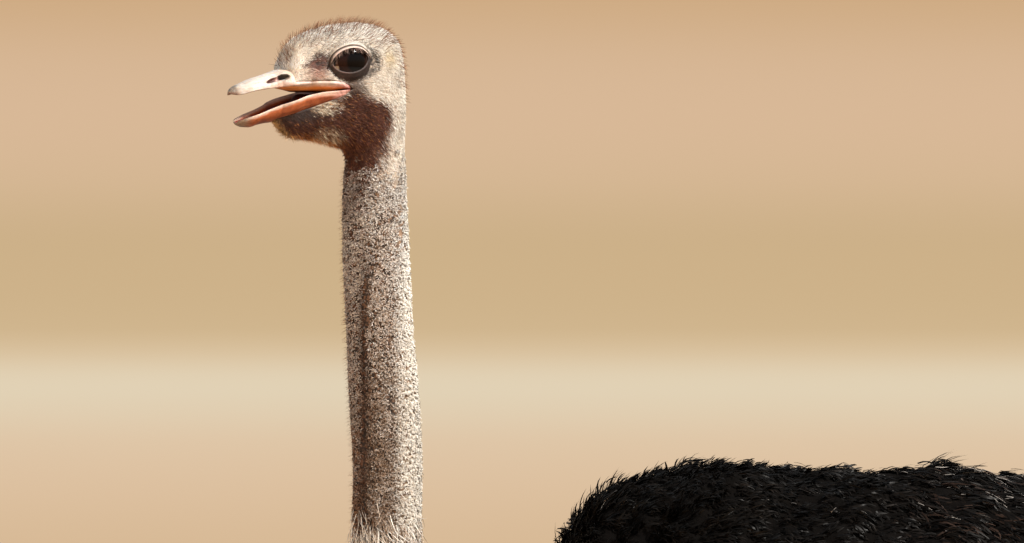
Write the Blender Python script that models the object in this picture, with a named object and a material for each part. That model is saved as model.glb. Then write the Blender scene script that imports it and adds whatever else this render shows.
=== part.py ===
"""A life-size adult male ostrich, standing at ease: the neck carried in a shallow S with the
head turned a little to its left, the bill open, black body plumage, pale plumes in the wings
and tail, bare legs and two-toed feet.

The bird faces -X, its left side is at -Y, and it stands on the plane Z = 0. Lengths in the
tables are millimetres, and every mesh is made in metres. Each solid reaches out to the tips of
the coat that covers it.
"""

import math

import bmesh
import bpy
import numpy as np
from mathutils import Matrix, Vector

MM = 0.001

# ---------------------------------------------------------------- driving dimensions, in mm
NECK_X = -612.0  # the neck's mean axis, so that the box of the whole bird is centred on X = 0
GAPE_Z = 1792.5  # height of the corner of the mouth above the floor
TURN_X = -6.0  # the vertical axis that the head turns on, measured from the neck's mean axis
BILL_REACH = 171.5  # from that axis to the tip of the bill
TURN_DEG = 32.0  # how far the head is turned to the bird's left
TWIST_FROM, TWIST_TO = 1560.0, 1700.0  # the heights between which the neck twists into that turn
FACE_S = 41.5  # where the face's feathers begin, measured back from the tip
GAPE_S = 123.0  # the corner of the mouth, measured back from the tip
GAP = 0.4  # between solids that meet

LEG_Y = 118.0  # each leg's distance from the middle plane
STAGGER = 45.0  # how far the left foot stands ahead of the middle of the two, and the right behind
FOOT = (712.0, 62.0)  # the same of the joint over the toes

# Half rings run from the back of the bird (dorsal) to its front (ventral), with the widest
# level set by "egg": above 0 moves it towards the dorsal side.
# dorsal along, dorsal z, ventral along, ventral z, half width, egg
NECK_RINGS = (
    (300, 1110, 262, 900, 100, 0.0),
    (215, 1128, 160, 925, 92, 0.0),
    (150, 1150, 80, 975, 78, 0.0),
    (98, 1185, 18, 1055, 64, 0.0),
    (62, 1235, -24, 1150, 52, 0.0),
    (47, 1290, -32, 1250, 41, 0.0),
    (43, 1336, -31, 1330, 36.5, 0.0),
    (44, 1408, -29, 1408, 34.5, 0.0),
    (41, 1479, -33, 1479, 34, 0.0),
    (35, 1551, -36, 1551, 33.5, 0.0),
    (31, 1632, -40, 1632, 33, 0.0),
    (29, 1684, -40, 1684, 33, 0.0),
    (29, 1708, -38.5, 1708, 33, 0.0),
)
# The same for the head, before it is turned, with heights measured from the gape.
HEAD_RINGS = (
    (29, -54, -38, -75, 33.5, 0.0),
    (30, -19, -44, -62, 35, 0.04),
    (29, 13, -58, -57, 36, 0.10),
    (25, 45, -72, -54, 37, 0.18),
    (8, 64, -85, -51.5, 37, 0.24),
    (-20, 73, -95, -50.5, 36.5, 0.28),
    (-46, 72, -102, -50, 35, 0.28),
    (-70, 68, -109, -48, 32, 0.24),
    (-91, 63, -115, -44, 29, 0.18),
    (-107, 56, -119, -39, 26, 0.12),
    (-119, 42, -125, -33, 23.5, 0.06),
    (-136, 18.5, -136, -31.5, 20.6, 0.0),
)
CUT_UPPER_NECK, CUT_MIDDLE_NECK = 1551.0, 1336.0  # heights of the cuts across the neck

# The bill, as heights from the gape and half widths, along s from the tip of the upper bill.
CULMEN = ((0, -1.0), (1.5, 1.6), (4, 3.6), (11, 7.2), (21, 11.2), (31, 14.0), (42, 16.6), (54, 20.5))
UPPER_RIM = (
    (0, -4.5), (4, -5.4), (22, -1.0), (40, 2.8), (63, 6.0), (82, 8.2), (92, 8.4), (102, 7.8),
    (112, 6.6), (123, 2.2), (148, -3.0),
)
LOWER_RIM = (
    (7, -31.6), (12, -28.6), (22, -25.0), (40, -18.6), (60, -10.6), (79, -4.5), (98, -1.0),
    (112, 0.0), (123, 1.8), (148, -5.0),
)
KEEL = ((7, -33.4), (9, -35.4), (15, -37.4), (22, -37.2), (30, -34.4), (40, -31.6), (54, -29.5))
RIM_WIDTH = (
    (0, 0.6), (1.5, 5.4), (4, 8.8), (10, 11.5), (23, 15.5), (41, 20.0), (53, 23.0), (64, 26.0),
    (83, 30.0), (103, 32.5), (123, 34.0), (148, 30.0),
)
LOWER_TIP_S = 7.0

# Each eyeball: its centre from the bill's tip, out to the side and up from the gape, its reach
# along the head, out and up, and how far it looks forwards of sideways in degrees.
EYE_S, EYE_OUT, EYE_UP = 124.5, 21.0, 28.5
EYE_REACH = (25.0, 19.0, 24.0)
EYE_FORWARD = 12.0

# The trunk with its plumage: along the body from the neck, top z, bottom z, half width.
TRUNK_RINGS = (
    (128, 1160, 1085, 34), (150, 1268, 1012, 98), (180, 1338, 950, 150), (230, 1388, 888, 198),
    (310, 1420, 832, 238), (420, 1411, 790, 262), (500, 1406, 772, 272), (585, 1420, 762, 278),
    (700, 1405, 766, 276), (820, 1372, 790, 260), (950, 1316, 846, 222), (1050, 1250, 912, 170),
    (1120, 1186, 984, 108), (1150, 1136, 1034, 52),
)
# The tail plumes hang as one bunch: along, z of the middle, half depth, half width.
TAIL_RINGS = (
    (1030, 1210, 40, 60), (1090, 1205, 62, 96), (1160, 1178, 74, 116), (1240, 1130, 72, 120),
    (1310, 1068, 56, 104), (1348, 1018, 32, 68), (1360, 998, 12, 30),
)
# The folded wing and its pale plumes: centre (along, out, up), reach (along, out, up), droop.
WING = ((700, 172, 1095), (405, 128, 215), 14)
WING_PLUMES = ((945, 168, 975), (190, 98, 122), 30)
# Each leg, from inside the plumage down: along, from the middle plane, z, half depth, half width.
SHANK_RINGS = (
    (575, 150, 985, 128, 94), (612, 147, 895, 120, 86), (652, 141, 800, 98, 71),
    (698, 133, 700, 69, 53), (741, 125, 612, 46, 39), (774, 118, 530.4, 36, 32),
)
TARSUS_RINGS = (
    (782, 118, 530, 37, 33), (784, 118, 512, 40, 35), (780, 118, 486, 36, 30),
    (771, 118, 440, 28, 22.5), (757, 118, 350, 25, 20), (742, 118, 250, 25, 20),
    (727, 118, 150, 27, 22.5), (717, 118, 92, 31, 29), (712, 118, 45, 31, 30),
)
# Toes, from the heel pad to the root of the claw: forward, outward, height, half width.
MAIN_TOE = (
    (-40, 0, 20, 12), (-30, 0, 38, 24), (-8, 0, 54, 31), (22, 0, 58, 32), (50, 0, 46, 27),
    (80, 0, 42, 28), (108, -1, 36, 25), (130, -2, 34, 25), (150, -3, 27, 20), (160, -3, 20, 15),
)
OUTER_TOE = (
    (8, 14, 30, 12), (22, 22, 36, 17), (44, 33, 30, 17), (64, 43, 25, 15), (84, 52, 24, 15.5),
    (100, 58, 19, 12), (106, 61, 13, 9),
)

PLUMAGE = ("plumage", (0.012, 0.010, 0.009), 0.55)
DOWN = ("neck_down", (0.52, 0.45, 0.37), 0.85)
HORN = ("bill_horn", (0.80, 0.60, 0.45), 0.38)
EYE = ("eye", (0.015, 0.008, 0.005), 0.05)
PLUMES = ("pale_plumes", (0.74, 0.70, 0.62), 0.8)
SKIN = ("leg_skin", (0.56, 0.44, 0.38), 0.6)
CLAW = ("claw", (0.10, 0.085, 0.07), 0.4)


def clear_scene():
    for obj in list(bpy.data.objects):
        bpy.data.objects.remove(obj)


def material(kind):
    """The one material of that kind, as a Principled BSDF."""
    name, colour, roughness = kind
    made = bpy.data.materials.get(name)
    if made is None:
        made = bpy.data.materials.new(name)
        made.use_nodes = True
        shader = made.node_tree.nodes["Principled BSDF"]
        shader.inputs["Base Color"].default_value = (*colour, 1.0)
        shader.inputs["Roughness"].default_value = roughness
    return made


def smooth(rows, at):
    """Rows read at the fractional row numbers `at`, along a Catmull-Rom curve through them."""
    rows = np.asarray(rows, float)
    last = len(rows) - 1
    padded = np.vstack([2 * rows[0] - rows[1], rows, 2 * rows[-1] - rows[-2]])
    at = np.clip(np.asarray(at, float), 0, last)
    i = np.minimum(at.astype(int), last - 1)
    t = (at - i)[:, None]
    a, b, c, d = (padded[i + k] for k in range(4))
    bend = (2 * a - 5 * b + 4 * c - d) * t**2
    return 0.5 * (2 * b + (c - a) * t + bend + (3 * b - a - 3 * c + d) * t**3)


def curve(pairs, x):
    """The height at x of the smooth curve through (x, height) pairs, with monotone slopes."""
    xs, ys = np.array(pairs, float).T
    x = np.clip(np.asarray(x, float), xs[0], xs[-1])
    step = np.diff(xs)
    slope = np.diff(ys) / step
    before, after = slope[:-1], slope[1:]
    total = np.where(before * after > 0, before + after, 1.0)
    inner = np.where(before * after > 0, 2 * before * after / total, 0.0)
    m = np.concatenate([[slope[0]], inner, [slope[-1]]])
    i = np.clip(np.searchsorted(xs, x, side="right") - 1, 0, len(step) - 1)
    t = (x - xs[i]) / step[i]
    return (
        (2 * t**3 - 3 * t**2 + 1) * ys[i]
        + (t**3 - 2 * t**2 + t) * step[i] * m[i]
        + (3 * t**2 - 2 * t**3) * ys[i + 1]
        + (t**3 - t**2) * step[i] * m[i + 1]
    )


def half_ring_points(dorsal, ventral, half_width, egg, sides):
    """Rings of `sides` points through the dorsal and ventral points, as wide as half_width each
    side. The ring is an ellipse whose width is scaled by 1 + egg x its height from -1 to 1."""
    angle = np.linspace(0, 2 * math.pi, sides, endpoint=False)
    level, side = np.cos(angle), np.sin(angle)
    middle, reach = (dorsal + ventral) / 2, (dorsal - ventral) / 2
    along = middle[:, None, 0] + reach[:, None, 0] * level
    up = middle[:, None, 1] + reach[:, None, 1] * level
    out = half_width[:, None] * side * (1 + egg[:, None] * level)
    return np.stack([along, out, up], axis=-1)


def twisted(points):
    """The points turned about the vertical axis under the head: not at all below TWIST_FROM, and
    by the whole turn above TWIST_TO."""
    share = np.clip((points[..., 2] - TWIST_FROM) / (TWIST_TO - TWIST_FROM), 0, 1)
    turn = math.radians(TURN_DEG) * share**2 * (3 - 2 * share)
    x, y = points[..., 0] - TURN_X, points[..., 1]
    out = points.copy()
    out[..., 0] = TURN_X + x * np.cos(turn) - y * np.sin(turn)
    out[..., 1] = x * np.sin(turn) + y * np.cos(turn)
    return out


def add_object(name, mesh, kind):
    mesh.shade_smooth()
    obj = bpy.data.objects.new(name, mesh)
    obj.data.materials.append(material(kind))
    bpy.context.scene.collection.objects.link(obj)
    return obj


def add_solid(name, vertices, faces, kind):
    """A closed object from vertices measured in mm from the neck's mean axis. Its origin is at
    the middle of its vertices. Its faces are triangles, so that a grown copy has the same ones."""
    placed = (np.asarray(vertices, float) + (NECK_X, 0, 0)) * MM
    middle = placed.mean(axis=0)
    mesh = bpy.data.meshes.new(name)
    mesh.from_pydata((placed - middle).tolist(), [], faces)
    work = bmesh.new()
    work.from_mesh(mesh)
    bmesh.ops.remove_doubles(work, verts=work.verts, dist=0.01 * MM)
    bmesh.ops.triangulate(work, faces=work.faces)
    if work.calc_volume(signed=True) < 0:
        bmesh.ops.reverse_faces(work, faces=work.faces)
    work.to_mesh(mesh)
    work.free()
    obj = add_object(name, mesh, kind)
    obj.location = middle
    return obj


def add_ellipsoid(name, centre, reach, turned, kind, segments=18, rings=10):
    """An ellipsoid of that reach along X, Y and Z, with its poles at either side, turned by
    Euler angles in degrees about its centre."""
    mesh = bpy.data.meshes.new(name)
    work = bmesh.new()
    bmesh.ops.create_uvsphere(work, u_segments=segments, v_segments=rings, radius=1.0)
    bmesh.ops.rotate(work, verts=work.verts, matrix=Matrix.Rotation(math.pi / 2, 3, "X"))
    bmesh.ops.scale(work, verts=work.verts, vec=Vector(reach) * MM)
    bmesh.ops.triangulate(work, faces=work.faces)
    work.to_mesh(mesh)
    work.free()
    obj = add_object(name, mesh, kind)
    obj.location = (np.asarray(centre, float) + (NECK_X, 0, 0)) * MM
    obj.rotation_euler = [math.radians(angle) for angle in turned]
    return obj


def loft(name, rings, kind):
    """A closed solid through rings (rows, sides, 3), with a flat cap on each end ring."""
    rows, sides = rings.shape[:2]
    faces = [
        (i * sides + j, i * sides + (j + 1) % sides, (i + 1) * sides + (j + 1) % sides, (i + 1) * sides + j)
        for i in range(rows - 1)
        for j in range(sides)
    ]
    faces.append(tuple(reversed(range(sides))))
    faces.append(tuple((rows - 1) * sides + j for j in range(sides)))
    return add_solid(name, rings.reshape(-1, 3), faces, kind)


def cutter_of(obj, grow):
    """A hidden copy of a solid, grown by `grow` mm along its normals, to cut its neighbours."""
    made = obj.copy()
    made.data = obj.data.copy()
    made.name = obj.name + "_cutter"
    made.modifiers.clear()
    bpy.context.scene.collection.objects.link(made)
    work = bmesh.new()
    work.from_mesh(made.data)
    for vertex in work.verts:
        vertex.co += vertex.normal * grow * MM
    work.to_mesh(made.data)
    work.free()
    return hide(made)


def hide(obj):
    obj.hide_render = True
    obj.display_type = "WIRE"
    return obj


def cut(obj, cutter):
    step = obj.modifiers.new("cut_by_" + cutter.name, "BOOLEAN")
    step.operation = "DIFFERENCE"
    step.solver = "EXACT"
    step.object = cutter
    return obj


# ---------------------------------------------------------------- neck and head


def body_rings(table, at, sides):
    rows = smooth(table, at)
    return half_ring_points(rows[:, 0:2], rows[:, 2:4], rows[:, 4], rows[:, 5], sides)


def row_at_height(table, height):
    """The fractional row of a table whose ring's middle is at that height."""
    at = np.linspace(0, len(table) - 1, 2001)
    rows = smooth(table, at)
    return float(np.interp(height, (rows[:, 1] + rows[:, 3]) / 2, at))


def make_neck(trunk_cutter):
    """Three lengths of neck, parted by level cuts. The lowest ends against the trunk."""
    cuts = [row_at_height(NECK_RINGS, z) for z in (CUT_MIDDLE_NECK, CUT_UPPER_NECK)]
    gap_rows = [row_at_height(NECK_RINGS, z + GAP) for z in (CUT_MIDDLE_NECK, CUT_UPPER_NECK)]
    spans = (
        ("neck_lower", 0.0, cuts[0], 13),
        ("neck_middle", gap_rows[0], cuts[1], 9),
        ("neck_upper", gap_rows[1], len(NECK_RINGS) - 1.0, 8),
    )
    for name, first, last, count in spans:
        rings = twisted(body_rings(NECK_RINGS, np.linspace(first, last, count), 20))
        obj = loft(name, rings, DOWN)
        if name == "neck_lower":
            cut(obj, trunk_cutter)


def head_table():
    """The head's rings with absolute heights, led in by the neck's last ring."""
    rows = np.array(HEAD_RINGS, float)
    rows[:, [1, 3]] += GAPE_Z
    first = np.array(NECK_RINGS[-1], float)
    first[[1, 3]] += GAP
    return np.vstack([first, rows])


def from_tip(s, out, up):
    """Points in the head's own frame: s back from the bill's tip, out to the side, up from the gape."""
    s, out, up = np.broadcast_arrays(*(np.asarray(v, float) for v in (s, out, up)))
    return np.stack([TURN_X - BILL_REACH + s, out, GAPE_Z + up], axis=-1)


def mouth_rings(s):
    """The space of the open mouth, ring by ring: wide of the head as far back as the gape, and
    then a narrowing throat. Its roof is the flat palate and its floor the trough of the jaw."""
    top, low, width = curve(UPPER_RIM, s), curve(LOWER_RIM, s), curve(RIM_WIDTH, s)
    inside = np.clip((s - (GAPE_S - 4)) / 8, 0, 1)
    width = width - 9 * inside
    reach = width + 14 * (1 - inside)
    top = top + inside
    low = low - inside
    roof = np.maximum(top - 1.0, np.interp(s, (0, 45, 70, 100, 148), (4, 8, 12, 13, 4)))
    floor = low - np.interp(s, (5, 30, 100, 148), (2.0, 8.0, 9.0, 5.0))
    rims = (
        (-reach, low), (-reach, top), (1 - width, top), (7 - width, roof), (0 * s, roof + 1),
        (width - 7, roof), (width - 1, top), (reach, top), (reach, low), (width - 1, low),
        (width - 8, floor), (0 * s, floor - 1), (8 - width, floor), (1 - width, low),
    )
    out = np.stack([rim[0] for rim in rims], axis=1)
    up = np.stack([rim[1] for rim in rims], axis=1)
    return from_tip(s[:, None], out, up)


def eye_solid(name, side, grow=0.0):
    """A flattened eyeball, set in the side of the head and faced a little forwards."""
    centre = twisted(from_tip(EYE_S, EYE_OUT * side, EYE_UP))
    reach = [radius + grow for radius in EYE_REACH]
    turned = (0, 0, TURN_DEG + EYE_FORWARD * side)
    return add_ellipsoid(name, centre, reach, turned, EYE, segments=16, rings=10)


def make_head():
    table = head_table()
    at = np.linspace(0, len(table) - 1, 22)
    head = loft("head", twisted(body_rings(table, at, 24)), DOWN)
    s = np.array([-8, 5, 20, 35, 48, 60, 72, 84, 95, 105, 113, 118, 123, 128, 136, 146], float)
    mouth = hide(loft("mouth_cutter", twisted(mouth_rings(s)), HORN))
    cut(head, mouth)
    for name, side in (("eye_left", -1), ("eye_right", 1)):
        eye_solid(name, side)
        cut(head, hide(eye_solid(name + "_cutter", side, GAP)))


def make_upper_bill():
    """Rings of an arch over the culmen, closed by a shallow hollow between the rims."""
    s = np.array([0.3, 1.5, 4, 8, 13, 20, 28, 36, FACE_S - GAP])
    top, rim, width = curve(CULMEN, s), curve(UPPER_RIM, s), curve(RIM_WIDTH, s)
    turn = np.linspace(-1, 1, 15)
    out = width[:, None] * np.sin(turn * math.pi / 2)
    up = rim[:, None] + (top - rim)[:, None] * np.cos(turn * math.pi / 2) ** 0.8
    across = np.linspace(0.8, -0.8, 7)
    under = rim[:, None] + 0.25 * (top - rim)[:, None] * (1 - (across / 0.8) ** 2)
    out = np.hstack([out, width[:, None] * across])
    up = np.hstack([up, under + 0.4])
    loft("bill_upper", twisted(from_tip(s[:, None], out, up)), HORN)


def make_lower_bill():
    """Rings of a spoon: a rounded keel below and a trough between the rims."""
    s = np.array([LOWER_TIP_S + 0.4, 9, 12, 17, 23, 30, 36, FACE_S - GAP])
    rim, keel, width = curve(LOWER_RIM, s), curve(KEEL, s), curve(RIM_WIDTH, s - LOWER_TIP_S + 0.3)
    turn = np.linspace(-1, 1, 13)
    out = width[:, None] * np.sin(turn * math.pi / 2)
    up = rim[:, None] - (rim - keel)[:, None] * np.cos(turn * math.pi / 2)
    across = np.linspace(0.76, -0.76, 7)
    floor = rim[:, None] - 0.55 * (rim - keel)[:, None] * (1 - (across / 0.8) ** 2)
    out = np.hstack([out, width[:, None] * across])
    up = np.hstack([up, floor])
    loft("bill_lower", twisted(from_tip(s[:, None], out, up)), HORN)


# ---------------------------------------------------------------- trunk, wings and tail


def make_trunk():
    rows = smooth(TRUNK_RINGS, np.linspace(0, len(TRUNK_RINGS) - 1, 24))
    top = np.stack([rows[:, 0], rows[:, 1]], axis=1)
    bottom = np.stack([rows[:, 0], rows[:, 2]], axis=1)
    rings = half_ring_points(top, bottom, rows[:, 3], np.full(len(rows), 0.06), 22)
    return loft("trunk", rings, PLUMAGE)


def make_wing(word, side, trunk_cutter):
    """The folded wing, a lens on the flank, and the pale plumes that hang out below and behind
    it. Returns the wing."""
    (along, out, up), reach, droop = WING
    wing = add_ellipsoid("wing_" + word, (along, out * side, up), reach, (0, droop, 0), PLUMAGE)
    cut(wing, trunk_cutter)
    (along, out, up), reach, droop = WING_PLUMES
    plumes = add_ellipsoid(
        "wing_plumes_" + word, (along, out * side, up), reach, (0, droop, 0), PLUMES
    )
    cut(plumes, trunk_cutter)
    cut(plumes, cutter_of(wing, GAP))
    return wing


def make_tail(trunk_cutter):
    rows = smooth(TAIL_RINGS, np.linspace(0, len(TAIL_RINGS) - 1, 10))
    angle = np.linspace(0, 2 * math.pi, 16, endpoint=False)
    slope = np.gradient(rows[:, 1], rows[:, 0])[:, None]
    lean = rows[:, 2:3] * np.cos(angle)
    points = np.stack(
        [rows[:, 0:1] - lean * slope / np.hypot(1, slope), rows[:, 3:4] * np.sin(angle),
         rows[:, 1:2] + lean / np.hypot(1, slope)], axis=-1,
    )
    return cut(loft("tail", points, PLUMES), trunk_cutter)


# ---------------------------------------------------------------- legs


def limb_rings(table, at, sides, side):
    """Level rings down a leg, as ellipses of the table's half depth and half width. The leg
    leans forwards or back from the hip to its own foot."""
    rows = smooth(table, at)
    rows[:, 0] += side * STAGGER * (1 - rows[:, 2] / 985)
    angle = np.linspace(0, 2 * math.pi, sides, endpoint=False)
    return np.stack(
        [rows[:, 0:1] + rows[:, 3:4] * np.cos(angle), side * (rows[:, 1:2] + rows[:, 4:5] * np.sin(angle)),
         np.broadcast_to(rows[:, 2:3], (len(rows), sides))], axis=-1,
    )


def toe_rings(table, count, side, sides=14):
    """Rings across a toe, arched above and flat on the floor below."""
    rows = smooth(table, np.linspace(0, len(table) - 1, count))
    heading = np.gradient(rows[:, :2], axis=0)
    heading /= np.linalg.norm(heading, axis=1, keepdims=True)
    angle = np.linspace(0, 2 * math.pi, sides, endpoint=False)
    across = np.sign(np.sin(angle)) * np.abs(np.sin(angle)) ** 0.8
    lift = np.maximum(0.42 + 0.58 * np.cos(angle), 0.0)
    forward = rows[:, 0:1] - heading[:, 1:2] * rows[:, 3:4] * across
    outward = rows[:, 1:2] + heading[:, 0:1] * rows[:, 3:4] * across
    return np.stack(
        [FOOT[0] + side * STAGGER - forward, side * (LEG_Y + outward), rows[:, 2:3] * lift], axis=-1
    )


def claw_rings(root, tip, height, half_width, side):
    """A blunt claw that tapers and dips from its root to its tip, flat along the floor."""
    t = np.array([0.0, 0.25, 0.5, 0.75, 0.92, 1.0])
    taper = np.sqrt(np.clip(1 - 0.97 * t**1.6, 0, 1))
    angle = np.linspace(0, 2 * math.pi, 12, endpoint=False)
    reach = np.subtract(tip, root)
    heading = reach / np.linalg.norm(reach)
    across = half_width * taper[:, None] * np.sin(angle)
    forward = root[0] + GAP * heading[0] + reach[0] * t[:, None] - heading[1] * across
    outward = root[1] + GAP * heading[1] + reach[1] * t[:, None] + heading[0] * across
    lift = np.maximum(0.4 + 0.6 * np.cos(angle), 0.0)
    return np.stack(
        [FOOT[0] + side * STAGGER - forward, side * (LEG_Y + outward), height * taper[:, None] * lift],
        axis=-1,
    )


def make_leg(word, side, trunk_cutter, wing_cutter):
    shank = loft("shank_" + word, limb_rings(SHANK_RINGS, np.linspace(0, 5, 9), 16, side), SKIN)
    cut(shank, trunk_cutter)
    cut(shank, wing_cutter)
    tarsus = loft("tarsus_" + word, limb_rings(TARSUS_RINGS, np.linspace(0, 8, 13), 12, side), SKIN)
    main = loft("toe_main_" + word, toe_rings(MAIN_TOE, 12, side), SKIN)
    outer = loft("toe_outer_" + word, toe_rings(OUTER_TOE, 10, side), SKIN)
    main_cutter = cutter_of(main, GAP)
    cut(tarsus, main_cutter)
    cut(outer, main_cutter)
    loft("claw_main_" + word, claw_rings((160, -3), (212, -3), 17, 12, side), CLAW)
    loft("claw_outer_" + word, claw_rings((106, 61), (122, 69), 10, 6.5, side), CLAW)


def main():
    clear_scene()
    trunk = make_trunk()
    trunk_cutter = cutter_of(trunk, GAP)
    make_neck(trunk_cutter)
    make_head()
    make_upper_bill()
    make_lower_bill()
    make_tail(trunk_cutter)
    for word, side in (("left", -1), ("right", 1)):
        wing = make_wing(word, side, trunk_cutter)
        make_leg(word, side, trunk_cutter, cutter_of(wing, GAP))


main()
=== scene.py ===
# %% [markdown]
# # A male ostrich, feather by feather
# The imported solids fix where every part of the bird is, out to the tips of its feathers. This
# lesson puts a living surface into them: a bare skin a little inside the solids, horn for the
# bill and claws, wet eyes between their lids, and then the coat, as thousands of small blades
# that grow from the skin and follow its lie. Every shape is a function of two parameters on a
# grid, so the same function that draws the skin also says where each feather is rooted.

# %% Open the frame
import math

import bpy
import numpy as np
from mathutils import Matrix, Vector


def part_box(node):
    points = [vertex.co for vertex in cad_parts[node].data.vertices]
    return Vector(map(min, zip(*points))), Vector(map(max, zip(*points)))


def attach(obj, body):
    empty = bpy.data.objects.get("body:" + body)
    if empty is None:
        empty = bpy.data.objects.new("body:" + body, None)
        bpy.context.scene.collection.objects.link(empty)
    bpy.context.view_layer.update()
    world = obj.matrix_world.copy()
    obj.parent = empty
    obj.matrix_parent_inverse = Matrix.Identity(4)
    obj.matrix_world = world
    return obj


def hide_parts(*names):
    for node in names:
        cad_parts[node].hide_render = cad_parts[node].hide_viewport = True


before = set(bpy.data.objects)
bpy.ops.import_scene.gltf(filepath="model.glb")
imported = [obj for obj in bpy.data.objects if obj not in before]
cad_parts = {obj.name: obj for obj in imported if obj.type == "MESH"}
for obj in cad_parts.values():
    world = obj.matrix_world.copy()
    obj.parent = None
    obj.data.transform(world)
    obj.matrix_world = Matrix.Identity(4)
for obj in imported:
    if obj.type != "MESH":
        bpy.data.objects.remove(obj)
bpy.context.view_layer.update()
MM = 0.001

# %% [markdown]
# ## Where things are
# The bird faces -X and its head is turned to its left, towards -Y. All the tables below are in
# millimetres, measured from the neck's mean axis and the floor. Two places are read off the
# solids: the neck's axis, from the tip of the bill, and the height of the gape, from the crown.
# The neck twists into the head's turn between two heights, so one function turns every point.

# %% The neck's axis, the gape and the turn of the head
TURN_X, BILL_REACH, TURN = -6.0, 171.5, math.radians(32.0)
TIP_X = TURN_X - BILL_REACH
TWIST_FROM, TWIST_TO = 1560.0, 1700.0
CROWN_OVER_GAPE, TIP_INSET = 73.5, 1.6
NECK_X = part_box("bill_upper")[0].x / MM + BILL_REACH * math.cos(TURN) - TURN_X + TIP_INSET
GAPE_Z = round(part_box("head")[1].z / MM - CROWN_OVER_GAPE, 1)
SIDES = (("left", -1), ("right", 1))
rng = np.random.default_rng(7)
print("neck axis at", round(NECK_X, 1), "mm, gape at", GAPE_Z, "mm")


def twisted(points, way=1):
    """Turned about the vertical axis under the head by the turn x (3t^2 - 2t^3), where t goes
    from 0 to 1 between the two twist heights. Height doesn't change, so way -1 turns back."""
    t = np.clip((points[..., 2] - TWIST_FROM) / (TWIST_TO - TWIST_FROM), 0, 1)
    turn = way * TURN * t**2 * (3 - 2 * t)
    x, y = points[..., 0] - TURN_X, points[..., 1]
    out = points.copy()
    out[..., 0] = TURN_X + x * np.cos(turn) - y * np.sin(turn)
    out[..., 1] = x * np.sin(turn) + y * np.cos(turn)
    return out


def from_tip(s, out, up):
    """A head point from s, back from the bill's tip, out to the side and up from the gape."""
    s, out, up = np.broadcast_arrays(*(np.asarray(v, float) for v in (s, out, up)))
    return np.stack([TIP_X + s, out, GAPE_Z + up], axis=-1)


# %% [markdown]
# ## Camera
# The bird is seen from its left, level with the middle of its neck, through a long lens, so
# that the head, the neck and the top of the back keep their true proportions.

# %% Camera
VIEW_WIDTH, VIEW_HEIGHT, BEHIND_NECK = 1.0394, 1.6092, 134.0
camera_data = bpy.data.cameras.new("camera")
camera_data.sensor_width, camera_data.lens = 36.0, 500.0
camera_data.clip_end = 100.0
camera = bpy.data.objects.new("camera", camera_data)
distance = VIEW_WIDTH * camera_data.lens / camera_data.sensor_width
camera.location = ((NECK_X + BEHIND_NECK) * MM, -distance, VIEW_HEIGHT)
camera.rotation_euler = (math.pi / 2, 0, 0)
bpy.context.scene.collection.objects.link(camera)
bpy.context.scene.camera = camera
print("camera", round(distance, 2), "m away")

# %% [markdown]
# ## Floor, air and light
# A pale floor, and air of a warm sandy beige with a few soft level bands, as of dry ground far
# out of focus. The strongest light is high, behind and to the bird's tail side, so the nape and
# crown are bright and the throat falls into shade; a wide soft light from the front fills it.

# %% Colours, nodes and the studio
def linear(code):
    """An sRGB hex colour as linear RGBA: each channel c becomes c/12.92 up to 0.04045, and
    ((c + 0.055)/1.055)^2.4 above."""
    c = np.array([int(code[i : i + 2], 16) for i in (1, 3, 5)]) / 255
    c = np.where(c <= 0.04045, c / 12.92, ((c + 0.055) / 1.055) ** 2.4)
    return (*c, 1.0)


def rgb(code):
    """The same colour as an array of three, for arithmetic."""
    return np.array(linear(code)[:3])


def node(tree, kind, settings=(), inputs=(), links=()):
    """One node: settings are its own properties, inputs its socket values, and links pairs of
    (input name, output socket that feeds it)."""
    made = tree.nodes.new("ShaderNode" + kind)
    for key, value in dict(settings).items():
        setattr(made, key, value)
    for key, value in dict(inputs).items():
        made.inputs[key].default_value = value
    for key, socket in links:
        tree.links.new(socket, made.inputs[key])
    return made


def ramped(tree, source, *stops):
    """A colour ramp fed by a socket, with its stops as (place, hex)."""
    ramp = node(tree, "ValToRGB", links=[("Fac", source)])
    elements = ramp.color_ramp.elements
    while len(elements) < len(stops):
        elements.new(1.0)
    for element, (place, code) in zip(elements, stops):
        element.position, element.color = place, linear(code)
    return ramp


def ranged(tree, source, ends, **settings):
    """A MapRange node fed by a socket. ends holds its From and To values by name."""
    made = node(tree, "MapRange", settings, ends, [("Value", source)])
    return made.outputs["Result"]


def material(name, **sockets):
    """A new material, its tree and its Principled shader, with sockets set by their names, in
    which _ stands for a space."""
    made = bpy.data.materials.new(name)
    made.use_nodes = True
    shader = made.node_tree.nodes["Principled BSDF"]
    for key, value in sockets.items():
        shader.inputs[key.replace("_", " ")].default_value = value
    return made, made.node_tree, shader
world = bpy.data.worlds.new("warm_air")
bpy.context.scene.world = world
world.use_nodes = True
air = world.node_tree
direction = node(air, "TexCoord").outputs["Generated"]
height = node(air, "SeparateXYZ", links=[("Vector", direction)]).outputs["Z"]
level = ranged(air, height, {"From Min": -0.0198, "From Max": 0.0198})
bands = ramped(
    air, level, (0.0, "#d6b894"), (0.1, "#dcbf9e"), (0.2, "#dfc5a6"), (0.27, "#e1d1b5"), (0.315, "#e2d2b6"),
    (0.355, "#dac29f"), (0.4, "#ceb38b"), (0.52, "#cdb189"), (0.58, "#ccb089"), (0.66, "#d5b794"),
    (0.76, "#d9b998"), (0.88, "#d7b796"), (0.99, "#cda980"),
)
bands.color_ramp.interpolation = "B_SPLINE"
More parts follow.
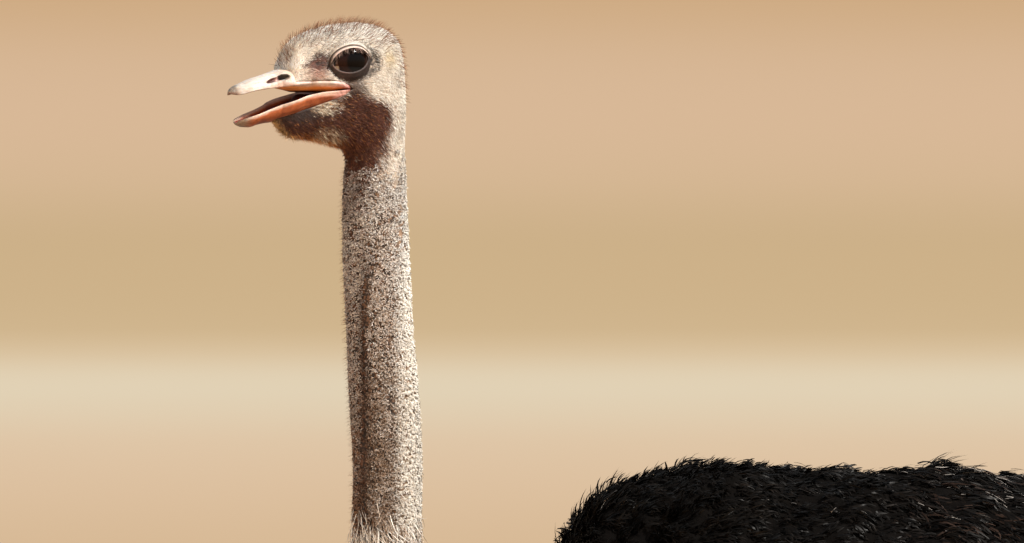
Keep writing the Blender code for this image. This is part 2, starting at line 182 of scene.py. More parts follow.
# The bands are what the eye sees. What lights the bird is softer and half as strong: sandy light
# from the ground and a paler, more neutral one from the sky, which keeps white down white.
lift = ranged(air, height, {"From Min": -0.3, "From Max": 0.5})
dome = ramped(air, lift, (0.0, "#a98a68"), (0.38, "#c8ad8c"), (0.6, "#ccc6bc"), (1.0, "#c4ccd4"))
seen = node(air, "LightPath").outputs["Is Camera Ray"]
chosen = node(
    air, "MixRGB",
    links=[("Fac", seen), ("Color1", dome.outputs["Color"]), ("Color2", bands.outputs["Color"])],
)
surround = air.nodes["Background"]
air.links.new(chosen.outputs["Color"], surround.inputs["Color"])
air.links.new(ranged(air, seen, {"To Min": 0.6, "To Max": 1.0}), surround.inputs["Strength"])


def area_light(name, place, towards, size, watts, code, spread=180.0):
    """A square soft light at a place in metres, pointed at another, its beam `spread` degrees wide."""
    data = bpy.data.lights.new(name, "AREA")
    data.size, data.energy, data.spread = size, watts, math.radians(spread)
    data.color = linear(code)[:3]
    light = bpy.data.objects.new(name, data)
    reach = np.subtract(towards, place)
    light.location = place
    light.rotation_euler = (
        math.acos(-reach[2] / np.linalg.norm(reach)), 0, math.atan2(reach[1], reach[0]) - math.pi / 2
    )
    bpy.context.scene.collection.objects.link(light)
    return light


area_light("key", (3.1, -1.9, 5.5), (-0.4, 0, 1.5), 0.9, 720, "#fffaf2")
area_light("front_fill", (-4.0, -5.0, 3.0), (-0.3, 0, 1.4), 4.4, 85, "#fff4e8")
area_light("sand_bounce", (-1.5, -2.3, 0.6), (-0.6, 0, 1.75), 1.0, 3.5, "#ffcd9c", 56.0)

FLOOR_RADIUS, FLOOR_SIDES = 6, 96
floor_data = bpy.data.meshes.new("floor")
around = np.linspace(0, 2 * math.pi, FLOOR_SIDES, endpoint=False)
edge = np.stack([FLOOR_RADIUS * np.cos(around), FLOOR_RADIUS * np.sin(around), 0 * around], axis=1)
floor_data.from_pydata(edge.tolist(), [], [tuple(range(FLOOR_SIDES))])
floor = bpy.data.objects.new("floor", floor_data)
bpy.context.scene.collection.objects.link(floor)
# Matt studio paper.
floor_data.materials.append(material("pale_studio_floor", Base_Color=linear("#8f887d"), Roughness=0.9)[0])
bpy.context.scene.view_settings.view_transform = "Standard"
print("studio ready")

# %% [markdown]
# ## Tools for surfaces
# A shape here is an array of points, rows by columns. Two tools read short tables, one as a
# smooth curve and one as a curve without overshoot. Three more shape a surface or a pattern: a
# soft step, a soft bump and a smooth unevenness.

# %% Curves through tables
def smooth(rows, at):
    """Catmull-Rom: between rows b and c, with neighbours a and d, the value is
    (2b + (c - a)t + (2a - 5b + 4c - d)t^2 + (3b - a - 3c + d)t^3) / 2."""
    rows = np.asarray(rows, float)
    last = len(rows) - 1
    padded = np.vstack([2 * rows[0] - rows[1], rows, 2 * rows[-1] - rows[-2]])
    at = np.clip(np.asarray(at, float), 0, last)
    i = np.minimum(at.astype(int), last - 1)
    t = (at - i)[:, None]
    a, b, c, d = (padded[i + k] for k in range(4))
    bend = (2 * a - 5 * b + 4 * c - d) * t**2
    return 0.5 * (2 * b + (c - a) * t + bend + (3 * b - a - 3 * c + d) * t**3)


def curve(pairs, x):
    """Cubic Hermite through the pairs, whose slope at each is the harmonic mean of the slopes
    on its two sides, or 0 at a peak, so it never overshoots."""
    xs, ys = np.array(pairs, float).T
    x = np.clip(np.asarray(x, float), xs[0], xs[-1])
    step = np.diff(xs)
    slope = np.diff(ys) / step
    before, after = slope[:-1], slope[1:]
    total = np.where(before * after > 0, before + after, 1.0)
    inner = np.where(before * after > 0, 2 * before * after / total, 0.0)
    m = np.concatenate([[slope[0]], inner, [slope[-1]]])
    i = np.clip(np.searchsorted(xs, x, side="right") - 1, 0, len(step) - 1)
    t = (x - xs[i]) / step[i]
    return (
        (2 * t**3 - 3 * t**2 + 1) * ys[i] + (t**3 - 2 * t**2 + t) * step[i] * m[i]
        + (3 * t**2 - 2 * t**3) * ys[i + 1] + (t**3 - t**2) * step[i] * m[i + 1]
    )


def ease(x, low, high):
    """0 up to low, 1 from high on, and 3t^2 - 2t^3 between them."""
    t = np.clip((x - low) / (high - low), 0, 1)
    return t * t * (3 - 2 * t)


def bump(x, y, x0, y0, rx, ry, tilt=0.0):
    """exp(-(a/rx)^2 - (b/ry)^2), with a and b measured from (x0, y0) on axes tilted by degrees."""
    c, s = math.cos(math.radians(tilt)), math.sin(math.radians(tilt))
    a, b = (x - x0) * c + (y - y0) * s, (y - y0) * c - (x - x0) * s
    return np.exp(-((a / rx) ** 2) - (b / ry) ** 2)


def waves(points, scale, seed):
    """A smooth unevenness from -1 to 1: the mean of five sine waves that cross the points in
    random directions, each about `scale` long."""
    pick = np.random.default_rng(seed)
    total = np.zeros(points.shape[:-1])
    for _ in range(5):
        way = pick.normal(size=3)
        way *= 2 * math.pi / (scale * pick.uniform(0.7, 1.5) * np.linalg.norm(way))
        total += np.sin(points @ way + pick.uniform(0, 6.3))
    return total / 5 * 1.6


print("ease at a quarter, a half and three quarters:", ease(np.array([0.25, 0.5, 0.75]), 0, 1))

# %% [markdown]
# ## Meshes
# A grid becomes a mesh of quads between neighbouring points, with a colour at each point that
# its material reads. A cap closes its first ring, and several grids can be joined in one mesh.
# Every piece rides the root, as the bird has no joints.

# %% Meshes from arrays
def grid_faces(rows, cols, wrap=False):
    """Quads between neighbouring rows and columns; wrap joins the last column to the first."""
    i, j = np.meshgrid(np.arange(rows - 1), np.arange(cols if wrap else cols - 1), indexing="ij")
    k = (j + 1) % cols
    quads = np.stack([i * cols + j, i * cols + k, (i + 1) * cols + k, (i + 1) * cols + j], axis=-1)
    return quads.reshape(-1, 4)


def add_mesh(name, points, faces, finish, tint=None, bake_uv=None):
    """A piece from points in mm and faces of one size. tint is a linear colour for each point, with
    the share of wool as a fourth value where there is any, and bake_uv a place for each on the
    unwrapped skin."""
    points = np.asarray(points, float).reshape(-1, 3)
    placed = (points + (NECK_X, 0, 0)) * MM
    sides = faces.shape[1]
    mesh = bpy.data.meshes.new(name)
    mesh.vertices.add(len(placed))
    mesh.vertices.foreach_set("co", placed.astype(np.float32).ravel())
    mesh.loops.add(faces.size)
    mesh.loops.foreach_set("vertex_index", faces.astype(np.int32).ravel())
    mesh.polygons.add(len(faces))
    mesh.polygons.foreach_set("loop_start", np.arange(len(faces), dtype=np.int32) * sides)
    mesh.polygons.foreach_set("use_smooth", np.ones(len(faces), bool))
    if tint is not None:
        colour = mesh.attributes.new("tint", "FLOAT_COLOR", "POINT")
        flat = np.asarray(tint, float).reshape(len(placed), -1)
        rgba = np.concatenate([flat, np.zeros((len(placed), 4 - flat.shape[1]))], axis=1)
        colour.data.foreach_set("color", np.clip(rgba, 0, 1).astype(np.float32).ravel())
    if bake_uv is not None:
        layer = mesh.uv_layers.new(name="OFBake")
        layer.data.foreach_set("uv", bake_uv.reshape(-1, 2)[faces.ravel()].astype(np.float32).ravel())
    mesh.update()
    mesh.validate()
    mesh.materials.append(finish)
    piece = bpy.data.objects.new(name, mesh)
    bpy.context.scene.collection.objects.link(piece)
    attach(piece, "root")
    print(name, len(faces) * (sides - 2), "triangles")
    return piece


def unit(v):
    return v / np.maximum(np.linalg.norm(v, axis=-1, keepdims=True), 1e-9)


def normals_of(grid, wrap=False):
    """Unit normals of a grid: the cross product of the differences along rows and columns."""
    down = np.gradient(grid, axis=0)
    if wrap:
        across = (np.roll(grid, -1, axis=1) - np.roll(grid, 1, axis=1)) / 2
    else:
        across = np.gradient(grid, axis=1)
    return unit(np.cross(across, down))


def capped(grid):
    """The grid with its first ring closed to its middle. The last ring stays open. It is hidden
    but at the toes' tips, where a thin gap shows round each claw."""
    middle = grid[:1].mean(axis=1, keepdims=True)
    return np.concatenate([np.repeat(middle, grid.shape[1], axis=1), grid])


def joined(grids, wrap=False, flips=(False,) * 4):
    """The points of several grids as one array, and all their quads, reversed where flips says."""
    starts = np.cumsum([0] + [g.shape[0] * g.shape[1] for g in grids])
    faces = [
        grid_faces(*g.shape[:2], wrap)[:, :: -1 if flip else 1] + start
        for g, flip, start in zip(grids, flips, starts)
    ]
    return np.concatenate([g.reshape(-1, 3) for g in grids]), np.concatenate(faces)

# %% [markdown]
# ## Finishes that read the point colours
# Skin, horn and down all change colour over the bird, so their colours are worked out for each
# point from where it is on the bird and kept in an attribute. Each material reads it, adds the
# fine unevenness that the real stuff has, and sets its own gloss.

# %% A finish from tinted points
def noise(tree, place, scale, detail):
    """A noise node at a place, with scale in waves per metre."""
    return node(tree, "TexNoise", inputs={"Scale": scale, "Detail": detail}, links=[("Vector", place)])


def times(tree, vector, share=1.0, by=()):
    """A colour or vector times a share, or times the socket in by."""
    links = [("Vector", vector), *[("Scale", socket) for socket in by]]
    return node(tree, "VectorMath", {"operation": "SCALE"}, {"Scale": share}, links).outputs["Vector"]


def raise_by(tree, shader, height, metres):
    """A bump of so many metres on the shader, from a height socket."""
    raised = node(tree, "Bump", inputs={"Strength": 1.0, "Distance": metres}, links=[("Height", height)])
    tree.links.new(raised.outputs["Normal"], shader.inputs["Normal"])


def tinted(name, roughness, mottle=0.0, scale=400.0, relief=0.0, relief_scale=600.0, wool=0.0, **sockets):
    """A Principled finish whose colour is the tint times 1 +- mottle of noise, with a bump of
    `relief` metres. scale is in waves per metre of Object coordinates. Where the tint's fourth
    value is 1 and wool is over 0, cells `wool` metres apart are pale in the middle and dark
    between, painted shade between curls of down."""
    made, tree, shader = material(name, Roughness=roughness, **sockets)
    point = node(tree, "Attribute", {"attribute_name": "tint"})
    colour = point.outputs["Color"]
    place = node(tree, "TexCoord").outputs["Object"]
    if mottle:
        ends = {"From Min": 0.3, "From Max": 0.7, "To Min": 1 - mottle, "To Max": 1 + mottle}
        shade = ranged(tree, noise(tree, place, scale, 3.0).outputs["Fac"], ends)
        colour = times(tree, colour, by=[shade])
    if wool:
        bend = times(tree, noise(tree, place, 0.6 / wool, 2.0).outputs["Color"], 1.4 * wool)
        bent = node(tree, "VectorMath", {"operation": "ADD"}, links=[(0, place), (1, bend)])
        cell = node(tree, "TexVoronoi", (), {"Scale": 1 / wool}, [("Vector", bent.outputs["Vector"])])
        ends = {"From Min": 0.28, "From Max": 0.62, "To Min": 0.0, "To Max": -0.85}
        dip = ranged(tree, cell.outputs["Distance"], ends, interpolation_type="SMOOTHSTEP")
        gap = node(tree, "Math", {"operation": "MULTIPLY"}, links=[(0, dip), (1, point.outputs["Alpha"])])
        keep = node(tree, "Math", {"operation": "ADD"}, {0: 1.0}, [(1, gap.outputs["Value"])])
        colour = times(tree, colour, by=[keep.outputs["Value"]])
    tree.links.new(colour, shader.inputs["Base Color"])
    if relief:
        raise_by(tree, shader, noise(tree, place, relief_scale, 4.0).outputs["Fac"], relief)
    return made
# Bare or thinly covered skin: soft, dull and a little translucent.
SKIN = tinted(
    "bird_skin", 0.62, mottle=0.16, scale=500, relief=0.0006, relief_scale=900, wool=0.0034,
    Subsurface_Weight=0.12, Subsurface_Radius=(0.004, 0.0015, 0.0008),
)
# Bill horn is keratin: smooth, with a waxy gloss and faint growth lines.
HORN = tinted(
    "bill_keratin", 0.40, mottle=0.12, scale=260, relief=0.0003, relief_scale=700,
    Specular_IOR_Level=0.25, Subsurface_Weight=0.15, Subsurface_Radius=(0.004, 0.002, 0.001),
)
# Down is loose keratin threads: dull, with light passing through the edges.
DOWN = tinted("pale_down", 0.8, mottle=0.10, scale=350, Specular_IOR_Level=0.25)
# Body plumes are black keratin barbs with a silky grey gloss along them.
PLUME = tinted("black_plume", 0.42, mottle=0.25, scale=120, Specular_IOR_Level=0.07)
print("finishes ready")

# %% [markdown]
# ## The skin of the head and neck
# An ostrich's head is small and flat, and its neck is a soft tube a good metre long. Both could
# be sculpted, but a loft is easier to steer: each row of a short table is one slanted ring, from
# a point on the back of the bird to one on its front, and the rings between are read off a
# smooth curve. The mouth is a slit in that loft. Where a ring meets the slit it is divided, so
# the skin is two grids, one over the crown and one under the jaw, which share their edge behind
# the corner of the mouth.

# %% Rings of the bare neck and head
# Back along, back z, front along, front z, half width, egg (widest above the middle if over 0).
NECK_SKIN = np.array([
    (300, 1090, 262, 920, 75, 0), (215, 1105, 160, 945, 70, 0), (148, 1130, 84, 993, 58, 0),
    (92, 1168, 26, 1068, 46, 0), (54, 1230, -14, 1155, 39, 0), (42.5, 1288, -26.5, 1252, 35.5, 0),
    (39.5, 1336, -27.5, 1330, 33, 0), (40.5, 1408, -25.5, 1408, 31, 0), (37.5, 1479, -29.5, 1479, 30.5, 0),
    (31.5, 1551, -32.5, 1551, 30, 0), (27.5, 1632, -36.5, 1632, 29.5, 0), (25.5, 1684, -36.5, 1684, 29.5, 0),
    (25, 1708, -35, 1708, 29.5, 0),
])
# The same for the head before it is turned, with heights from the gape.
HEAD_SKIN = np.array([
    (24.5, -54, -34, -73, 29.5, 0), (25, -19, -39, -58, 31, 0.04), (24, 13, -53.5, -53.5, 32.5, 0.10),
    (19, 45, -69, -50.5, 34, 0.18), (4, 61, -83, -48, 34.5, 0.24), (-20, 67.5, -93.5, -47, 34, 0.28),
    (-45, 67, -101, -46.5, 32.5, 0.28), (-69, 63, -108, -45, 29.5, 0.24), (-89, 57, -114, -41.5, 27, 0.18),
    (-102.5, 49, -118.5, -38, 25, 0.12), (-108.5, 38.5, -122.5, -34, 23, 0.06), (-113, 26, -126, -31, 21, 0),
    (-122, 14, -132, -28, 18, 0), (-136, 8, -138, -26, 14, 0),
])
SKIN_RINGS = np.vstack([NECK_SKIN, HEAD_SKIN + (0, GAPE_Z, 0, GAPE_Z, 0, 0)])
# Heights of the skin's edge over the mouth and under it, along s. They meet behind the gape.
UPPER_EDGE = ((40, 6.0), (54, 7.0), (62, 8.0), (75, 9.6), (88, 10.8), (98, 10.8), (108, 10.0),
              (114, 8.6), (119, 6.6), (123, 4.8), (128, 1.5), (300, 1.5))
LOWER_EDGE = ((40, -31), (47, -29.4), (60, -25.5), (79, -19.5), (98, -13), (105, -10.4), (112, -7.6),
              (118, -4.6), (123, -1.4), (128, 1.5), (300, 1.5))
EYE_S, EYE_OUT, EYE_UP, EYE_REACH, EYE_FORWARD = 124.5, 21.0, 28.5, (25.0, 19.0, 24.0), 12.0


def head_frame(points):
    """s, |out| and up of points on the bird: back from the bill's tip, sideways, and from the
    gape's height."""
    p = twisted(points, -1)
    return p[..., 0] - TIP_X, np.abs(p[..., 1]), p[..., 2] - GAPE_Z


def slit_level(rows, edge):
    """The level c, 1 at a ring's back and -1 at its front, where the ring crosses up = edge(s).
    It is kept between 0.8 and -0.9."""
    c = np.linspace(0.8, -0.9, 700)
    along = (rows[:, 0:1] + rows[:, 2:3]) / 2 + (rows[:, 0:1] - rows[:, 2:3]) / 2 * c
    up = (rows[:, 1:2] + rows[:, 3:4]) / 2 + (rows[:, 1:2] - rows[:, 3:4]) / 2 * c - GAPE_Z
    below = up < curve(edge, along - TIP_X)
    return c[np.where(below.any(axis=1), below.argmax(axis=1), len(c) - 1)]


def relief_of(s, out, up, level, z):
    """How far the skin stands out of its ring: a hollow under each eyeball, a brow over it, a
    hollow lore, the jaw's muscle, the ear, and the groove down each side of the neck."""
    a, b = (s - EYE_S) / 24.5, (up - EYE_UP) / 19.5
    socket = -9.0 * np.exp(-((a * a + b * b) ** 2)) * ease(out, 8, 16)
    brow = 3.0 * bump(s, up, EYE_S - 2, EYE_UP + 23, 26, 7, 4) * ease(out, 10, 20)
    lore = -2.2 * bump(s, up, 88, 27, 11, 9)
    jaw = 1.6 * bump(s, up, 152, -14, 16, 12) - 1.2 * bump(s, up, 166, 20, 5, 7)
    groove = -3.2 * np.exp(-(((np.degrees(np.arccos(np.clip(level, -1, 1))) - 134) / 13) ** 2))
    return socket + brow + lore + jaw + groove * ease(z, 1290, 1350) * (1 - ease(z, 1600, 1680))


SINK, HEAD_ROW = 3.0, 12  # how far the skin sinks under the horn, and where the head's rings begin
HORN_LINE = (5, 9, 16, 20.5, 26, 40), (64, 62.5, 62.5, 60.5, 57, 52)


def skin_at(u, angle):
    """Skin points for rows u and ring angles: middle + reach cos(angle) along the ring's slant and
    half width x sin(angle) x (1 + egg cos(angle)) sideways, then the relief outwards."""
    rows = smooth(SKIN_RINGS, u)
    level, side = np.cos(angle), np.sin(angle)
    back, front = rows[:, None, 0:2], rows[:, None, 2:4]
    slant = unit(back - front)
    plane = (back + front) / 2 + (back - front) / 2 * level[..., None]
    out = rows[:, 4:5] * side * (1 + rows[:, 5:6] * level)
    p = np.stack([plane[..., 0], out, plane[..., 1]], axis=-1)
    away = np.stack([slant[..., 0] * level, side, slant[..., 1] * level], axis=-1)
    s, up = p[..., 0] - TIP_X, p[..., 2] - GAPE_Z
    p = p + away * relief_of(s, np.abs(out), up, level, p[..., 2])[..., None]
    # In front of the line where the horn begins, the skin sinks under it.
    under = (1 - ease(s - np.interp(up, *HORN_LINE), -4, 1)) * ease(up, -2, 4) * (s < 85)
    return p - away * (SINK * under)[..., None]


SKIN_U = np.concatenate([
    np.linspace(0, HEAD_ROW, 190, endpoint=False), np.linspace(HEAD_ROW, len(SKIN_RINGS) - 1.0, 180),
])
skin_rows = smooth(SKIN_RINGS, SKIN_U)
to_slit = ease(SKIN_U, 12.2, 14.6)
upper_c = slit_level(skin_rows, UPPER_EDGE) * to_slit
lower_c = slit_level(skin_rows, LOWER_EDGE) * to_slit
upper_angle = np.arccos(upper_c)[:, None] * np.linspace(-1, 1, 87)
lower_angle = math.pi + (math.pi - np.arccos(lower_c))[:, None] * np.linspace(-1, 1, 71)
upper_skin, lower_skin = skin_at(SKIN_U, upper_angle), skin_at(SKIN_U, lower_angle)


def edge_out(grid, s):
    """How far out the skin's edge is at s: the head's part of the first column as a curve of s."""
    front = grid[-170:, 0]
    order = np.argsort(front[:, 0])
    return np.interp(s, front[order, 0] - TIP_X, np.abs(front[order, 1]))


print("skin rows", len(SKIN_U), "edge out at the gape", edge_out(upper_skin, np.array([60.0, 90, 120])))

# %% [markdown]
# ## The markings
# Skin and coat share one set of markings, so that no tuft sits on skin of another bird's
# colour. Each mark is a soft patch in the head's own two coordinates, mixed over what is below
# it: a pale crown and cheek, a rusty dark throat, a slate patch of bare skin along the jaw, and
# pinkish bare lores. Below the head the neck is woolly: pale curls over brown.

# %% One function for all markings
def mixed(colour, code, weight):
    """The colour moved towards a hex colour by a weight for each point."""
    return colour + (rgb(code) - colour) * np.clip(weight, 0, 1)[..., None]


def layered(colour, *coats):
    """The colour with coats, each a hex colour and its weight, mixed over it in turn."""
    for code, weight in coats:
        colour = mixed(colour, code, weight)
    return colour


def painted(points, code, *coats):
    """One hex colour at every point, with coats over it."""
    return layered(np.broadcast_to(rgb(code), points.shape), *coats)


def marking(points):
    """The coat's linear colour at points of the head or neck, and the share it covers, 0 to 1."""
    s, _, up = head_frame(points)
    x, z = points[..., 0], up + GAPE_Z
    rough, fine, patch, grit = (waves(points, *w) for w in ((9.0, 3), (4.5, 6), (26.0, 4), (2.6, 8)))
    neck = 1 - ease(z, 1640, 1740)
    # Crown and nape, a little greyer than the cheek, and the neck below, paler down its back, partly as
    # painted light from behind.
    colour = painted(
        points, "#e6e1d9",
        ("#d6c8b4", 0.4 * ease(60 - up, 0, 20) + 0.3 * rough),
        ("#a88d76", 0.85 * neck),
        ("#ece7de", neck * ease(x, 10, 24)),
    )
    # In part painted light and shade: the neck is darker low down and brighter high up.
    colour = colour * (1 + neck * (0.42 * ease(z, 1420, 1640) - 0.24))[..., None]
    # The rusty throat, from the jaw to the front of the neck, with an orange lower edge and pale
    # tufts across it.
    edge = np.interp(-up, (6, 11, 16, 31, 62, 112, 150), (140, 158, 172, 176, 167.5, 150, 141))
    top = np.interp(s, (60, 100, 118, 126, 140, 160, 176), (-4, -6, -3, 1, -1, -8, -13))
    throat = ease(edge - s + 5 * rough + 3 * fine, -7, 7) * ease(top - up + 2 * rough + fine, -1, 5)
    throat = throat * (1 - ease(-up, 100, 165))
    orange = ease(bump(s, up, 94, -54, 36, 8, -6), 0.2, 0.8) * ease(-up, 36, 46)
    pale = ease(bump(s, up, 108, -45, 17, 7, -6), 0.25, 0.7) * ease(fine + 0.5 * rough, -0.3, 0.5)
    # Slate skin along the jaw, and pale tufts behind it.
    slate = bump(s, up, 79, -25, 34, 8.5, 6)
    tufts = ease(bump(s, up, 101, -18, 17, 7, 6), 0.25, 0.6) * ease(rough + fine, -0.5, 0.3)
    # Lores, darkest at their front and along their top.
    wedge = np.abs(up - 25 - 3.4 * ease(s, 72, 96)) - 8.4 * ease(s, 68, 92) - 1.4 * rough - 1.2 * fine
    lores = ease(s, 70, 75) * (1 - ease(s, 100, 106)) * (1 - ease(wedge, -2.2, 2.2))
    border = lores * np.clip(ease(wedge, -4.5, -1) * (up > 27) + 1 - ease(s, 74, 80), 0, 1)
    # A dark ring of bare skin below the eye, and of mottled down behind it.
    a, b = (s - EYE_S - 1.9) / 19.5, (up - EYE_UP - 1.5) / 12.5
    ring, turn = np.hypot(a, b), np.degrees(np.arctan2(b, a))
    below = ease(1.62 + 0.12 * rough - ring, 0, 0.2) * ease(-turn, 20, 50) * (1 - 0.5 * ease(-turn, 150, 178))
    behind = ease(1.74 + 0.18 * rough - ring, 0, 0.15) * ease(turn, -88, -60) * (1 - ease(turn, 26, 46))
    colour = layered(
        colour,
        ("#96694f", neck * 0.6 * ease(-x, 6, 24)),
        ("#52230f", 0.97 * throat),
        ("#1c0b06", 0.7 * throat * ease(fine + 0.6 * rough, -0.1, 0.8)),
        ("#c8803f", 0.95 * orange),
        ("#dcccb0", 0.9 * pale),
        ("#3c3435", 0.95 * slate),
        ("#efe2cc", 0.9 * tufts),
        ("#8c7060", 0.4 * bump(s, up, 80, 20, 17, 11) * ease(fine + 0.6 * rough, -0.6, 0.6)),
        ("#a9705c", 0.8 * bump(s, up, 88, 16, 11, 8)),
        ("#603122", 0.95 * lores),
        ("#1d0f0a", 0.85 * np.clip(lores * ease(fine + 0.6 * rough, 0.1, 0.7) + border, 0, 1)),
        ("#3d2d27", 0.93 * below),
        ("#1c0f09", 0.98 * behind * ease(0.5 * fine + 0.3 * rough + 0.8 * grit, -0.75, 0.0)),
        # A brown patch behind the gape, a yellowish ear and the white cheek.
        ("#3f2013", 0.92 * ease(bump(s, up, 129, 3, 15, 12, -20) + 0.14 * rough + 0.16 * fine, 0.2, 0.7)),
        ("#dcc48c", 0.6 * bump(s, up, 171, 33, 7, 9)),
        ("#e9e2d6", 0.5 * bump(s, up, 152, 6, 16, 9, -14)),
    )
    cover = np.maximum(1 - 0.75 * slate, tufts) * (1 - 0.35 * lores) * (1 - 0.45 * below)
    return colour * (1 + 0.07 * patch + 0.08 * rough)[..., None], cover


def skin_colour(points):
    """The skin under the coat: a darker, redder version of the coat's colour, the darkening being
    painted shade under the coat, and the share of woolly pattern on it, which is full on the neck
    and none on the head."""
    coat, cover = marking(points)
    s, _, up = head_frame(points)
    x = points[..., 0]
    # Painted shade: the skin is darker and redder where the coat covers it.
    shade = np.array([0.60, 0.52, 0.46]) + 0.30 * (1 - cover)[..., None]
    by_bill = ((1 - ease(s, 66, 84)) * ease(up, 2, 7))[..., None]
    shade = shade + (np.array([1.02, 0.97, 0.93]) - shade) * by_bill
    wool = ease(-up, 70, 130)
    shade = shade + (np.array([0.34, 0.23, 0.16]) - shade) * wool[..., None]
    # Where this share is full, the finish paints shade in the gaps between curls.
    knobs = wool * (1 - 0.9 * ease(x, 12, 26) * wool)
    # At the neck's foot it turns black, painted shade under the body's black plumes.
    colour = mixed(coat * shade, "#14110f", 0.95 * ease(-up - GAPE_Z, -1285, -1235))
    return np.concatenate([colour, knobs[..., None]], axis=-1)


print("linear colour of the cheek:", np.round(marking(twisted(from_tip([150], [30], [5])))[0], 2))

# %% [markdown]
# ## Closing the skin
# The two grids of the skin share their edge wherever the mouth is shut. Points that are equal are
# made one there, so the surface has no seam, and along the open mouth its edge turns inwards.

# %% The skin's mesh
def welded(grids):
    """Points and triangles of several grids, their shared edges made one and no face collapsed."""
    points, faces = joined(grids)
    _, first, index = np.unique(np.round(points, 3), axis=0, return_index=True, return_inverse=True)
    faces = index.reshape(-1)[faces]
    tris = np.concatenate([faces[:, [0, 1, 2]], faces[:, [0, 2, 3]]])
    whole = (tris[:, 0] != tris[:, 1]) & (tris[:, 1] != tris[:, 2]) & (tris[:, 0] != tris[:, 2])
    return points[first], tris[whole]


TUCK = 4.0
apart = (np.abs(upper_c - lower_c) > 1e-6)[:, None]
foot = np.broadcast_to(upper_skin[:1].mean(axis=(0, 1)), (1, 1, 3))


def tucked(grid):
    """The grid with a column more on each side, TUCK mm inwards where the mouth is open, so that
    its edges turn under, and a row more at its foot, drawn to a point."""
    columns = []
    for edge in (grid[:, :1], grid[:, -1:]):
        under = edge.copy()
        under[..., 1] -= np.sign(edge[..., 1]) * TUCK * ease(np.abs(edge[..., 1]), 0.5, 5)
        columns.append(np.where(apart[..., None], under, edge))
    full = np.concatenate([columns[0], grid, columns[1]], axis=1)
    return twisted(np.concatenate([np.repeat(foot, full.shape[1], axis=1), full]))


points, tris = welded([tucked(upper_skin), tucked(lower_skin)])
skin_head = add_mesh("skin_head_and_neck", points, tris, SKIN, skin_colour(points))
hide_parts("head", "neck_upper", "neck_middle", "neck_lower")

# %% [markdown]
# ## The bill
# Horn grows over the bony bill as a thin sheath. From outside it is an arch, flat and broad,
# with a raised nail at its tip; from inside, a shallow palate above and a trough below. Each half
# is one shell closed at its tip, a ring of outer and inner points at every distance from it, so
# its rims have real thickness and the open mouth shows a real inside. Behind the face's feathers
# the shells run on, hidden, to the corner of the mouth.

# %% Profiles of the bill
CULMEN = ((0, -1.6), (1.5, 0.8), (4, 2.4), (11, 5.3), (21, 9.2), (31, 12.8), (38, 15.2), (44.4, 17.2),
          (50.6, 19.2), (55.5, 21.6), (60, 24), (66, 26), (85, 28), (150, 16))
UPPER_RIM = ((0, -4.5), (4, -5.4), (22, -1.2), (40, 1.5), (52, 3.0), (62, 4.2), (75, 5.6), (88, 6.3),
             (100, 6.1), (112, 4.8), (123, 1.8), (130, 1), (150, 1))
LOWER_RIM = ((7, -32), (12, -29.4), (22, -25.9), (40, -19.3), (60, -11.6), (79, -5.4), (98, -1.6),
             (112, -0.4), (123, 0.6), (130, 0.5), (150, -1))
KEEL = ((7, -33.8), (9, -35.6), (15, -37.6), (22, -37.8), (30, -35.6), (40, -33.6), (50, -32.4),
        (60, -30.8), (80, -26.6), (110, -19), (150, -14))
RIM_WIDTH = ((0, 0.6), (1.5, 5.6), (4, 9.4), (10, 12.6), (23, 17.6), (41, 22.8), (53, 25.6), (64, 28),
             (83, 31), (103, 33), (116, 33.5), (123, 32.5), (130, 26), (150, 20))
PALATE = ((0, 0.6), (10, 1), (42, 3.2), (56, 3.0), (65, 1.0), (72, -0.6), (79, -2.4), (85, -3.6), (100, -3.8),
          (111, -1.8), (122, 0.6), (150, 0))
TROUGH = ((0, -34.2), (7, -34), (12, -33.4), (30, -31), (60, -23), (100, -13), (125, -7), (150, -5))
# The nostril is a slanted slot, parted by a strut into a deep rear hole and a shallow front one.
# Each is s, up, half length, half height, tilt in degrees.
NOSTRIL_REAR, NOSTRIL_FRONT = (52.9, 12.8, 5.8, 2.7, 16.0), (43.6, 9.8, 7.4, 2.2, 18.0)


HORN_END = (9, 16, 20.5, 26), (62.5, 62.5, 60.5, 57)  # heights, and s where the horn ends there
ACROSS_UPPER, ACROSS_LOWER, ACROSS_INSIDE = 97, 81, 31  # points across the bill's surfaces


def shell(s, outer, inner):
    """Closed rings of a bill half: outer points from one rim to the other, then inner points
    back, each half given as (out, up) arrays. The tip is closed to a point."""
    out = np.concatenate([outer[0], inner[0]], axis=1)
    up = np.concatenate([outer[1], inner[1]], axis=1)
    return capped(from_tip(s[:, None], out, up))


BILL_S = np.concatenate([
    np.array([0.15, 0.6, 1.3, 2.2]), np.linspace(3.5, 70, 110), np.linspace(71, 148, 70),
])
skin_side = np.minimum(edge_out(upper_skin, BILL_S), edge_out(lower_skin, BILL_S))
flush = ease(BILL_S, 117, 128)
rim_out = curve(RIM_WIDTH, BILL_S)
rim_out = np.minimum(rim_out, skin_side + 2.2 - 4.5 * flush + 8 * (1 - ease(BILL_S, 60, 84)))

turn = np.linspace(-1, 1, ACROSS_UPPER)
rim, top = curve(UPPER_RIM, BILL_S)[:, None], curve(CULMEN, BILL_S)[:, None]
arch = np.cos(turn * math.pi / 2) ** 0.8
outer_out = rim_out[:, None] * np.sin(turn * math.pi / 2)
outer_up = rim + (top - rim) * arch
# The nail: a raised cap over the tip, parted from the rest by a faint step.
nail = 0.7 * (1 - ease(BILL_S, 29, 34))[:, None] * ease(arch, 0.15, 0.5) * ease(BILL_S, 2, 8)[:, None]
